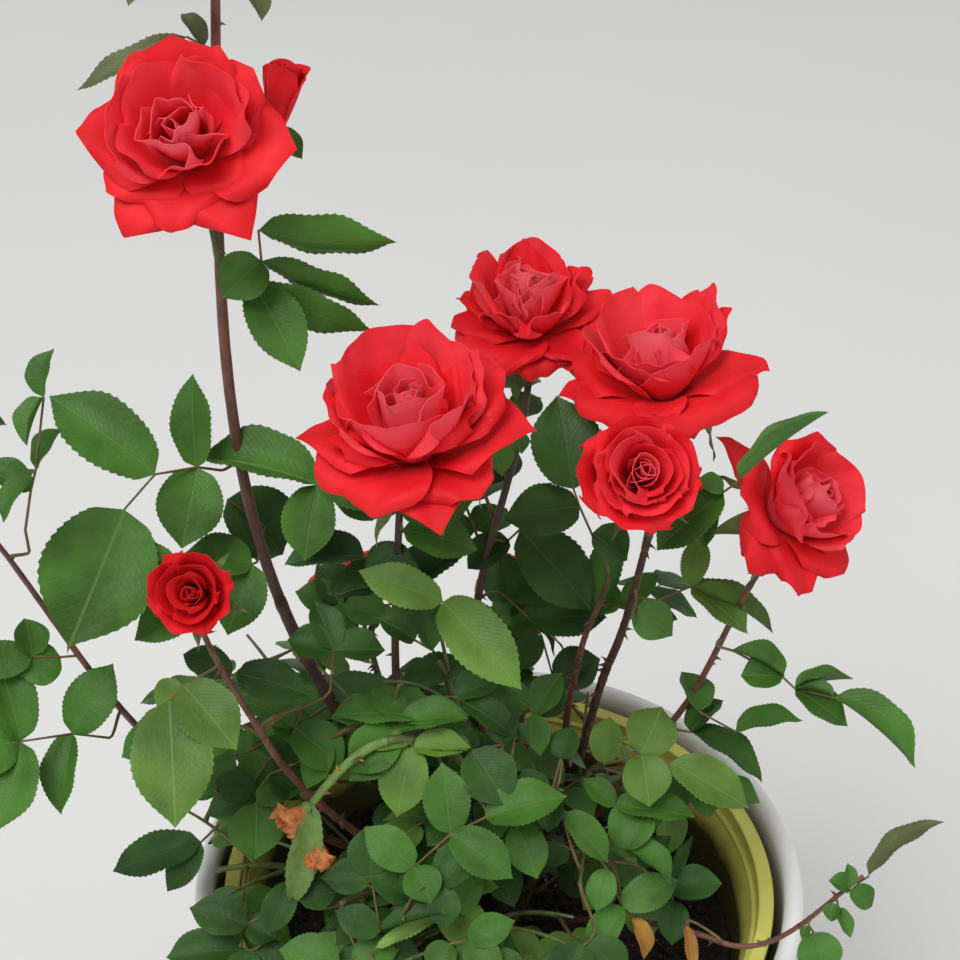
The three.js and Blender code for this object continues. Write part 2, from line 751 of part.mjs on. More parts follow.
const stubCurve = limbCurve(
  footPoint(STUB.foot),
  heading(STUB.foot[0], STUB.rise),
  point(STUB.tip),
  heading(...STUB.lean),
);
addLimb("stub_pruned", stubCurve, STUB.radii, baseCutter);
const stubCutter = grownTube(stubCurve, STUB.radii, LIMB_SIDES, LIMB_STEPS).add(baseCutter);

for (const cane of CANES) {
  const fromStub = cane.parent === "stub";
  const foot = fromStub ? stubCurve.getPoint(cane.parentPlace) : footPoint(cane.foot);
  const azimuth = fromStub ? cane.riseAzimuth : cane.foot[0];
  const joint = point(cane.joint);
  const jointHeading = heading(...cane.bend);
  const limb = limbCurve(foot, heading(azimuth, cane.rise), joint, jointHeading);
  addLimb(`cane_${cane.name}`, limb, cane.radii, fromStub ? stubCutter : baseCutter);
  const start = joint.clone().addScaledVector(jointHeading, CLEAR);
  const stem = limbCurve(start, jointHeading, point(cane.tip), heading(...cane.lean));
  const radii = [cane.radii[1], cane.radii[2]];
  sources.set(cane.name, { stem, radii, plan: cane, twigs: [], fromBase: false });
}

for (const shoot of SHOOTS) {
  const foot = footPoint(shoot.foot);
  const stem = limbCurve(foot, heading(shoot.foot[0], shoot.rise), point(shoot.tip), heading(...shoot.lean));
  const random = new Seeded(shoot.seed * TWIG_SEED);
  const twigs = [];
  for (let index = 0; index < SHOOT_TWIGS; index += 1) {
    const place = TWIG_FIRST + TWIG_SPACING * index + random.between(-0.05, 0.05);
    const way = stem.getTangent(place);
    const side = index % 2 === 0 ? 1 : -1;
    const azimuth = Math.atan2(way.y, way.x) / DEGREE + side * random.between(38, 66);
    const elevation = Math.asin(way.z) / DEGREE * 0.5 + random.between(18, 34);
    const length = stem.getLength() * TWIG_SHARE * random.between(0.85, 1.15);
    const from = stem.getPoint(place);
    const out = heading(azimuth, elevation);
    const level = heading(azimuth, elevation - TWIG_BEND);
    const to = from.clone().addScaledVector(out, length / 2).addScaledVector(level, length / 2);
    twigs.push(limbCurve(from, out, to, level));
  }
  sources.set(`low_${shoot.name}`, {
    stem, radii: SHOOT_RADII, twigs, fromBase: true,
    plan: {
      name: `low_${shoot.name}`, seed: shoot.seed, leaves: [],
      seeded: { ...SHOOT_LEAVES, size: shoot.size },
    },
  });
}

// Stems first, so that every leaf is tested against all of them.
for (const [name, source] of sources) {
  let solid = taperedTube(source.stem, 0, 1, source.radii[0], source.radii[1], STEM_SIDES, STEM_STEPS);
  if (source.fromBase) {
    solid = largestBody(solid.subtract(baseCutter));
  }
  for (const twig of source.twigs) {
    solid = solid.add(taperedTube(twig, 0, 1, ...TWIG_RADII, TWIG_SIDES, TWIG_SIDES));
    noteStalk(twig, name);
  }
  source.solid = solid;
  keep(solid, name);
  noteStalk(source.stem, name);
}

// A flower's own frame: its axis and two directions across it.
function bloomFrame(facing) {
  const axis = heading(...facing);
  const across = heading(facing[0] + 90, 0);
  return { axis, across, third: axis.clone().cross(across) };
}

// A turned body in a flower's frame, from pairs of radius and height.
function turnedInFrame(foot, frame, profile, sides) {
  const outline = profile.map(([radius, height]) => new THREE.Vector2(radius, height));
  const lathe = new THREE.LatheGeometry(outline, sides);
  const placement = new THREE.Matrix4().makeBasis(frame.third, frame.axis, frame.across);
  placement.setPosition(foot);
  lathe.applyMatrix4(placement);
  return solidOf(lathe);
}

// A rose as one body: a skirt of outer petals, lobed like them, round a rounded heart. The skirt
// stands up on a closed flower and spreads and turns down on an open one.
function roseSolid(foot, frame, width, open) {
  const tall = width * (0.95 - 0.4 * open);
  const heart = width * (0.44 - 0.12 * open);
  const edgeHeight = tall * (0.78 - 0.42 * open);
  const rings = [
    { radius: width * 0.07, height: 0, lobe: 0, droop: 0 },
    { radius: width * (0.36 - 0.06 * open), height: tall * 0.12, lobe: 0.1, droop: 0 },
    { radius: width * 0.5, height: edgeHeight, lobe: 0.13 * open + 0.04, droop: width * 0.09 * open },
    { radius: heart * 1.06, height: tall * (0.86 - 0.16 * open), lobe: 0.1, droop: 0 },
    { radius: heart * 0.7, height: tall, lobe: 0, droop: 0 },
  ];
  const sides = PETAL_COUNT * 2;
  const vertices = [foot.clone().addScaledVector(frame.axis, -1)];
  for (const ring of rings) {
    for (let side = 0; side < sides; side += 1) {
      const angle = (side / sides) * 2 * Math.PI;
      const between = side % 2;
      const radius = ring.radius * (1 - ring.lobe * between);
      const height = ring.height - ring.droop * (1 - between);
      vertices.push(foot.clone()
        .addScaledVector(frame.across, radius * Math.cos(angle))
        .addScaledVector(frame.third, radius * Math.sin(angle))
        .addScaledVector(frame.axis, height));
    }
  }
  const last = vertices.length;
  vertices.push(foot.clone().addScaledVector(frame.axis, tall * 0.95));
  const faces = [];
  for (let side = 0; side < sides; side += 1) {
    const next = (side + 1) % sides;
    faces.push([0, 1 + next, 1 + side]);
    for (let ring = 0; ring < rings.length - 1; ring += 1) {
      const a = 1 + ring * sides + side;
      const b = 1 + ring * sides + next;
      faces.push([a, b, b + sides], [a, b + sides, a + sides]);
    }
    const top = 1 + (rings.length - 1) * sides;
    faces.push([top + side, top + next, last]);
  }
  return solidFrom(vertices, faces);
}

function budSolid(foot, frame, width) {
  return turnedInFrame(foot, frame, [
    [0, -1],
    [width * 0.3, 0],
    [width * 0.5, width * 0.5],
    [width * 0.36, width * 1.3],
    [width * 0.12, width * 1.8],
    [0, width * 1.85],
  ], 7);
}

function calyxSolid(foot, frame, width) {
  const swell = Math.max(3, width * 0.065);
  return turnedInFrame(foot, frame, [
    [0, -swell * 2.2],
    [swell * 0.8, -swell * 1.8],
    [swell, -swell * 0.9],
    [swell * 0.7, 0.5],
    [0, 0.8],
  ], 6);
}

for (const bloom of BLOOMS) {
  const frame = bloomFrame(bloom.facing);
  const isBud = bloom.open === 0;
  const sink = isBud ? 0.9 : 0.46 - 0.2 * bloom.open;
  const foot = point(bloom.centre).addScaledVector(frame.axis, -bloom.width * sink);
  const { stem, radii } = sources.get(bloom.on);
  const way = stem.getTangent(bloom.place);
  const start = stem.getPoint(bloom.place);
  let out = way.clone();
  if (bloom.place === 1) {
    start.addScaledVector(way, CLEAR);
  } else {
    out = foot.clone().sub(start).normalize().add(way).normalize();
  }
  const stalk = limbCurve(start, out, foot.clone().addScaledVector(frame.axis, -2), frame.axis);
  const thick = Math.min(STALK_RADIUS, radii[1]);
  let solid = taperedTube(stalk, 0, 1, thick, thick, STEM_SIDES, 4);
  if (bloom.place < 1) {
    solid = largestBody(solid.subtract(grownTube(stem, radii, STEM_SIDES, STEM_STEPS)));
  }
  solid = solid.add(calyxSolid(foot, frame, bloom.width));
  if (isBud) {
    solid = solid.add(budSolid(foot, frame, bloom.width));
  } else {
    solid = solid.add(roseSolid(foot, frame, bloom.width, bloom.open));
  }
  addNode(bloom.name, solid, FINISH.petal);
  keep(solid, bloom.name);
  noteStalk(stalk, bloom.name);
}

// The old stalk arches over and carries two dried blooms and a pale hanging leaf.
const spentLimb = limbCurve(
  footPoint(SPENT.foot),
  heading(SPENT.foot[0], SPENT.rise),
  point(SPENT.joint),
  heading(...SPENT.bend),
);
addLimb("cane_spent", spentLimb, SPENT.radii, baseCutter);
const spentStart = point(SPENT.joint).addScaledVector(heading(...SPENT.bend), CLEAR);
const spentStalk = limbCurve(spentStart, heading(...SPENT.bend), point(SPENT.tip), heading(...SPENT.lean));
let spentSolid = taperedTube(spentStalk, 0, 1, SPENT.radii[1], SPENT.radii[2], STEM_SIDES, 4);
for (const [x, y, z, size] of SPENT.blooms) {
  const centre = new THREE.Vector3(x, y, z);
  const hang = centre.clone().sub(point(SPENT.tip)).normalize();
  const across = hang.clone().cross(new THREE.Vector3(0, 0, 1)).normalize();
  const frame = { axis: hang, across, third: hang.clone().cross(across) };
  spentSolid = spentSolid.add(budSolid(point(SPENT.tip).addScaledVector(hang, -1), frame, size * 0.9));
}
addNode("spent_blooms", spentSolid, FINISH.spent);
keep(spentSolid, "spent_blooms");
noteStalk(spentStalk, "spent_blooms");

// Leaves: the ones that show best in their own places, and then the seeded ones.
function spotOnStalk(source, curveIndex, place) {
  const curve = curveIndex === 0 ? source.stem : source.twigs[curveIndex - 1];
  const held = Math.min(place, 0.985);
  return { base: curve.getPoint(held), way: curve.getTangent(held) };
}

function leafSpot(source, index) {
  const { seeded } = source.plan;
  if (source.twigs.length > 0) {
    const [curveIndex, place] = SHOOT_SPOTS[index % SHOOT_SPOTS.length];
    return { ...spotOnStalk(source, curveIndex, place), atTip: place === 1 };
  }
  const place = seeded.from + ((seeded.to - seeded.from) * (index + 0.5)) / seeded.count;
  return { ...spotOnStalk(source, 0, place), atTip: false };
}

function seededLeaf(source, index, spot, random) {
  const { seeded, seed } = source.plan;
  const wayAzimuth = Math.atan2(spot.way.y, spot.way.x) / DEGREE;
  const side = index % 2 === 0 ? 1 : -1;
  let azimuth = wayAzimuth + side * random.between(24, 90);
  if (spot.atTip) {
    azimuth = wayAzimuth + random.between(-35, 35);
  }
  if (spot.way.z > 0.8) {
    azimuth = GOLDEN_ANGLE * index + random.between(-60, 60) + seed * 40;
  }
  const size = random.between(...seeded.size);
  return {
    azimuth,
    elevation: random.between(...seeded.elevation),
    rachis: size * RACHIS_TO_LEAFLET[seeded.leaflets],
    size,
    leaflets: seeded.leaflets,
    droop: random.between(...seeded.droop),
    turn: side * random.between(-10, 25),
    roll: random.between(-14, 14),
  };
}

// Fuses a leaf to its mass; a leaflet that would touch anything is left off.
function fuseLeaf(name, source, plan) {
  const rachis = rachisSolid(plan.places);
  if (!isClear(rachis, [name])) {
    return false;
  }
  const pieces = plan.blades.map(leafletSolid).filter((solid) => isClear(solid, []));
  if (pieces.length === 0) {
    return false;
  }
  const whole = wasm.Manifold.union([rachis, ...pieces]);
  source.solid = source.solid.add(whole);
  keep(whole, `${name} leaf`);
  noteLeaf(plan, name);
  return true;
}

for (const [name, source] of sources) {
  source.plan.leaves.forEach((values, index) => {
    const [place, azimuth, elevation, rachis, size, leaflets, droop, turn, roll] = values;
    const { base } = spotOnStalk(source, 0, place);
    const random = new Seeded(source.plan.seed * PLACED_SEED + index * PLACED_STEP);
    for (const swing of SWINGS) {
      const leaf = { azimuth: azimuth + swing, elevation, rachis, size, leaflets, droop, turn, roll };
      if (fuseLeaf(name, source, planLeaf(base, leaf, random))) {
        break;
      }
    }
  });
}
const mostLeaves = Math.max(...[...sources.values()].map((source) => source.plan.seeded.count));
for (let index = 0; index < mostLeaves; index += 1) {
  for (const [name, source] of sources) {
    if (index >= source.plan.seeded.count) {
      continue;
    }
    const spot = leafSpot(source, index);
    const random = new Seeded(source.plan.seed * SEEDED_SEED + index * SEEDED_STEP);
    for (let attempt = 0; attempt < TRIES; attempt += 1) {
      const plan = planLeaf(spot.base, seededLeaf(source, index, spot, random), random);
      if (hasRoom(plan, name) && fuseLeaf(name, source, plan)) {
        break;
      }
    }
  }
}
for (const [name, source] of sources) {
  addNode(`leaves_${name}`, largestBody(source.solid), FINISH.leaf);
}

export default model;
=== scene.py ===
# The potted rose bush with its finish: glazed pots, soil, bark, prickles, leaves and roses.
import math
from collections import namedtuple

import bpy
import numpy as np
from bpy.props import FloatProperty, FloatVectorProperty, IntProperty, PointerProperty
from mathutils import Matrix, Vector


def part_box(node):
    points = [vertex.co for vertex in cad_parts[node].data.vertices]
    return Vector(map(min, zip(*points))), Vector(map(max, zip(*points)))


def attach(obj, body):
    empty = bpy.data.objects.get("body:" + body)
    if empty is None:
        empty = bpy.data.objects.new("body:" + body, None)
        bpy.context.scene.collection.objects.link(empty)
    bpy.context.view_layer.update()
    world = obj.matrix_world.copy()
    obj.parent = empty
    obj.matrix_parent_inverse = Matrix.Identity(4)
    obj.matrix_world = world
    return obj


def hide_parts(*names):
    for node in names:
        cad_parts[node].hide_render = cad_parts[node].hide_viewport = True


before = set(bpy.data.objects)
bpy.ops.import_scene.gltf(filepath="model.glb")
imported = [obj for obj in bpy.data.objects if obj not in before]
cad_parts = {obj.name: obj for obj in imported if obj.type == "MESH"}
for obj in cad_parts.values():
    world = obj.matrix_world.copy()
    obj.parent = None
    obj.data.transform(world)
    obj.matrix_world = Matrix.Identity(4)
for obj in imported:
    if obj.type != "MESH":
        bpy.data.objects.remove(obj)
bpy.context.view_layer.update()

bl_info = {
    "name": "Potted rose bush",
    "version": (1, 0, 0),
    "blender": (4, 5, 0),
    "location": "3D view > Sidebar > Rose bush",
    "description": "Pots, soil, canes, leaves and roses of a potted rose bush",
    "category": "Object",
}

BODY = "root"

# A planned leaflet, where 0 for width, fold or bend leaves it to the settings; a flower; a low shoot.
Blade = namedtuple("Blade", "start way normal length width fold bend", defaults=(0, 0, 0))
Bloom = namedtuple("Bloom", "mass place centre facing width opened count")
Shoot = namedtuple("Shoot", "foot rise tip lean seed lengths")

# Every length below is in millimetres, in the frame of the pot's underside.
MM = 0.001

# Lengths that one unit of a tube's and of a turned surface's UVs spans.
TUBE_UV_LENGTH = 40
LATHE_UV_LENGTH = 100

# Pots: lips, shoulders, walls and feet with the roundings of their edges, how far under the inner rim
# the painted shade on the inner wall is full and where it ends, and how far its edge runs up and down.
OUTER_LIP = 9.4
OUTER_LIP_OVERHANG = 3.5
OUTER_SHOULDER = 13
OUTER_WALL = 5
OUTER_FLOOR = 7
OUTER_FOOT_RADIUS = 106
OUTER_FOOT_EDGE = 4
OUTER_FLOOR_EDGE = 5
POT_CLEARANCE = 0.3
INNER_RIM_WIDTH = 7.6
INNER_RIM_DEPTH = 3.5
INNER_RIM_EDGE = 0.9
INNER_SHOULDER = 14
INNER_TAPER_RADIUS = 123
INNER_FOOT_RADIUS = 92
INNER_WALL = 2.6
PAINTED_SHADE_DROPS = (20, 8)
PAINTED_SHADE_RAGGED_EDGE = 12

# Soil: its level, the rows and sides of its surface, how far it sinks under its level and dips at the
# wall, and its grains, each by height, cell size and seed; then the chips by kind, share of their
# number and sizes, and the fallen leaves by number, first places and lengths.
SOIL_HEIGHT = 222
SOIL_ROWS = 110
SOIL_SIDES = 260
SOIL_SEED = 5
SOIL_SINK = 1.5
SOIL_DIP = 4.5
SOIL_GRAINS = ((0.9, 42, 3), (0.75, 9, 4), (0.45, 4.2, 5))
CHIP_KINDS = (("dark", 0.5, (1.5, 4)), ("brown", 0.4, (1.5, 5)), ("tan", 0.1, (0.8, 2.2)))
FALLEN_COUNT = 9
FALLEN_PLACES = ((16, -88, 0), (62, -100, 0))
FALLEN_LENGTH = (20, 34)

# Wood: the woody base with its burls and grain, how deep in it the limbs start, the heights between
# which the brown of the foot gives way on the canes, on their stems and on the tall stem, then old
# buds, prickles and leaf stalks.
BASE_HEIGHT = 40
BASE_RADIUS = 17
BASE_BURLS = ((1.5, 7, 11), (0.8, 3, 12))
BASE_GRAINS = ((0.4, 1.6, 13),)
FOOT_DEPTH = 0.35
CANE_BROWN = (262, 330)
STEM_BROWN = (236, 300)
TALL_STEM_BROWN = (450, 600)
SPENT_SEED = 29
BUD_SWELLING = 0.13
SHOOT_PRICKLES, STEM_PRICKLES, STALK_PRICKLES, SPENT_PRICKLES = 3, 7, 3, 5
LAST_PRICKLE = 0.98
PRICKLE_SINK, PRICKLE_DROOP = 0.7, 0.35
PRICKLE_LENGTH = (2.4, 4.4)
PRICKLE_RADII = (1.25, 0.8, 0.5, 0.25, 0.06)
LEAF_STALK_RADII = (0.95, 0.5)
LEAF_STALK_FOOT = 1.5

# The leaf rule of the source, for leaves of five leaflets: the steps of the rachis, its length in
# terminal leaflets, the place, size and angle of the pairs, the points that stand for a leaflet where
# room is looked for, how often a leaf is tried, and the seeds.
RACHIS_STEP = 20
RACHIS_STEPS = (2, 4)
RACHIS_TO_LEAFLET = 1.35
TOP_PAIR = 0.76
PAIR_SPACING = 0.38
PAIR_SIZE = (0.86, 0.7)
PAIR_SPREAD = 64
LEAFLET_SWING = 8
LEAFLET_TILT = (0.02, 0.3)
GOLDEN_ANGLE = 137.5
LEAFLET_WIDEST = 0.48
BLADE_ROWS = np.array([0.2, 0.43, 0.66, 0.92])
BLADE_COLUMNS = np.array([-0.8, 0, 0.8])
BLADE_REACH = 0.6
TRIES = 20
PLACED_SEED = 7919
SEEDED_SEED = 1009
SEEDED_STEP = 31
TWIG_SEED = 977
PRICKLE_SEED = 131
STEM_PRICKLE_SEED = 50
SPENT_PRICKLE_SEED = 77

# How a seeded leaf stands on a cane's stem or on a shoot, and how far its heading swings: off the
# stem, at the stem's end, and round an upright stem.
CANE_DROOP, CANE_RISE = (30, 60), (10, 48)
SHOOT_DROOP, SHOOT_RISE = (16, 50), (4, 44)
SHOOT_LAP, SHOOT_STEM_STEP = 0.3, 0.1
LAST_PLACE, END_PLACE, UPRIGHT = 0.985, 0.95, 0.8
SIDE_SWING, END_SWING, UPRIGHT_SWING = (24, 90), (-35, 35), (-60, 60)
SEED_TURN = 40
RACHIS_TURN, RACHIS_ROLL = (-10, 25), (-14, 14)

# The shape of a blade: how it bends in radians, folds and waves, where it is widest, how blunt its
# base is and how its tip is drawn out.
LEAF_BEND = (0.1, 0.8)
LEAF_LOOK = {"wave": 0.016, "widest": 0.94, "base": 0.52, "point": 0.62}
FALLEN_LOOK = {
    "bend": (0.8, 2.2), "fold": 0.7, "width": 0.62, "teeth": 0.014,
    "wave": 0.05, "widest": 0.85, "base": 0.6, "point": 0.5,
}
HANGING_LOOK = {
    "bend": (0.3, 0.6), "fold": 0.5, "width": 0.27, "teeth": 0.008,
    "wave": 0.02, "widest": 0.8, "base": 0.7, "point": 0.9,
}
SEPAL_LOOK = {
    "fold": 0.35, "width": 0.28, "teeth": 0.0, "wave": 0.03, "widest": 0.55, "base": 0.72, "point": 1.6,
}
OPEN_SEPAL_BEND = (0.5, 1.5)
CLOSED_SEPAL_BEND = (-0.5, -0.1)
FOLD_SPREAD = (0.4, 1.5)
WIDTH_SPREAD = (0.92, 1.08)
BLADE_SWELL = 0.09  # of the half width, between midrib and edge
BLADE_WAVES = 2.3

# Finish: slant and number of a leaflet's side veins, number of a petal's veins, and how far the brown
# of a cane's foot runs up and down.
VEIN_SLANT = 0.7
SIDE_VEINS = 9
PETAL_VEINS = 22
BARK_RIPPLE = 40
LEAF_ROUGHNESS = 0.48

# The greens of the seeded leaves, each up to its share of the draws: at the top of the tall cane, on
# the other canes, and on the shoots.
TOP_HEIGHT = 640
TOP_GREENS = (("olive", 0.7), ("dark", 1))
CANE_GREENS = (("dark", 0.42), ("middle", 0.85), ("light", 1))
SHOOT_GREENS = (("dark", 0.2), ("middle", 0.68), ("light", 0.93), ("young", 1))

# Finer twigs stand closer than the source's, so the room that a leaf keeps is smaller.
BLADE_ROOM = 2.8
STALK_ROOM = 2.0
REACH_MARGIN = 8
POT_MARGIN = 3
RIM_MARGIN = 3

# Canes: foot [azimuth, height], rise, joint, heading there, tip, heading there, radii, seed and bark;
# then the seeded leaves: count, first and last place, shortest and longest terminal leaflet. A stub
# value is the place on the pruned stub where the cane springs.
CANES = {
    "tall": {
        "foot": (168, 254), "rise": 50, "joint": (-99, 7, 438), "bend": (165, 74),
        "tip": (-107, 40, 768), "lean": (80, 84), "radii": (3.8, 3.0, 1.8), "seed": 11, "bark": "tall",
        "seeded": (4, 0.86, 1, 16, 24),
    },
    "left": {
        "foot": (180, 244), "rise": 36, "joint": (-158, -19, 374), "bend": (205, 62),
        "tip": (-232, -46, 560), "lean": (190, 58), "radii": (3.4, 2.6, 1.5), "seed": 12, "bark": "red",
        "seeded": (2, 0.86, 1, 24, 30),
    },
    "front_left": {
        "foot": (222, 246), "rise": 52, "joint": (-104, -44, 402), "bend": (200, 72),
        "tip": (-125, -52, 474), "lean": (210, 80), "radii": (3.2, 2.6, 2.0), "seed": 13, "bark": "red",
        "seeded": (5, 0, 0.6, 28, 38),
    },
    "front": {
        "foot": (226, 262), "rise": 82, "joint": (-47, -2, 380), "bend": (120, 84),
        "tip": (-42, -18, 530), "lean": (-80, 80), "radii": (3.2, 2.7, 2.2), "seed": 14, "bark": "dark",
        "seeded": (9, 0.02, 0.8, 28, 38),
    },
    "middle": {
        "foot": (92, 258), "rise": 76, "joint": (-12, 32, 398), "bend": (60, 85),
        "tip": (12, 54, 522), "lean": (60, 80), "radii": (3.2, 2.7, 2.2), "seed": 15, "bark": "dark",
        "seeded": (14, 0, 0.85, 30, 42),
    },
    "dark": {
        "stub": 0.72, "foot": (-36, 0), "rise": 66, "joint": (52, 23, 388), "bend": (-45, 72),
        "tip": (64, 2, 478), "lean": (-60, 76), "radii": (3.2, 2.7, 2.2), "seed": 16, "bark": "dark",
        "seeded": (7, 0.05, 0.8, 28, 38),
    },
    "red": {
        "stub": 0.9, "foot": (160, 0), "rise": 80, "joint": (38, 31, 384), "bend": (-30, 82),
        "tip": (49, 21, 440), "lean": (-40, 80), "radii": (2.9, 2.4, 1.8), "seed": 17, "bark": "red",
        "seeded": (6, 0.1, 0.95, 28, 38),
    },
    "right": {
        "foot": (-4, 248), "rise": 50, "joint": (80, 10, 358), "bend": (-15, 62),
        "tip": (117, 0, 468), "lean": (-20, 66), "radii": (3.2, 2.7, 2.2), "seed": 18, "bark": "red",
        "seeded": (1, 0.1, 0.3, 24, 30),
    },
    "runner": {
        "foot": (-30, 232), "rise": 34, "joint": (102, -64, 291), "bend": (-24, -4),
        "tip": (161, -71, 343), "lean": (-2, 50), "radii": (2.8, 2.2, 1.5), "seed": 19, "bark": "red",
        "seeded": (0, 0, 1, 20, 30),
    },
    "back_left": {
        "foot": (144, 246), "rise": 44, "joint": (-50, 56, 314), "bend": (130, 44),
        "tip": (-66, 92, 338), "lean": (110, 40), "radii": (3.2, 2.6, 2.0), "seed": 20, "bark": "green",
        "seeded": (18, 0, 0.95, 30, 40),
    },
    "back": {
        "foot": (78, 246), "rise": 48, "joint": (12, 62, 316), "bend": (80, 44),
        "tip": (18, 98, 338), "lean": (80, 40), "radii": (3.2, 2.6, 2.0), "seed": 21, "bark": "green",
        "seeded": (18, 0, 0.95, 30, 40),
    },
}
STUB = {"foot": (46, 256), "rise": 40, "tip": (36, 35, 308), "lean": (60, 72), "radii": (4.6, 3.8)}
SPENT = {
    "foot": (256, 246), "rise": 70, "joint": (-50, -42, 398), "bend": (204, 8),
    "tip": (-83, -58, 376), "lean": (205, -48), "radii": (2.0, 2.2, 1.8),
    "blooms": ((-93, -64, 371, 14), (-79, -78, 346, 13)),
    "stalks": (2, 15),
    "hanging_tip": (-92, -92, 334),
}
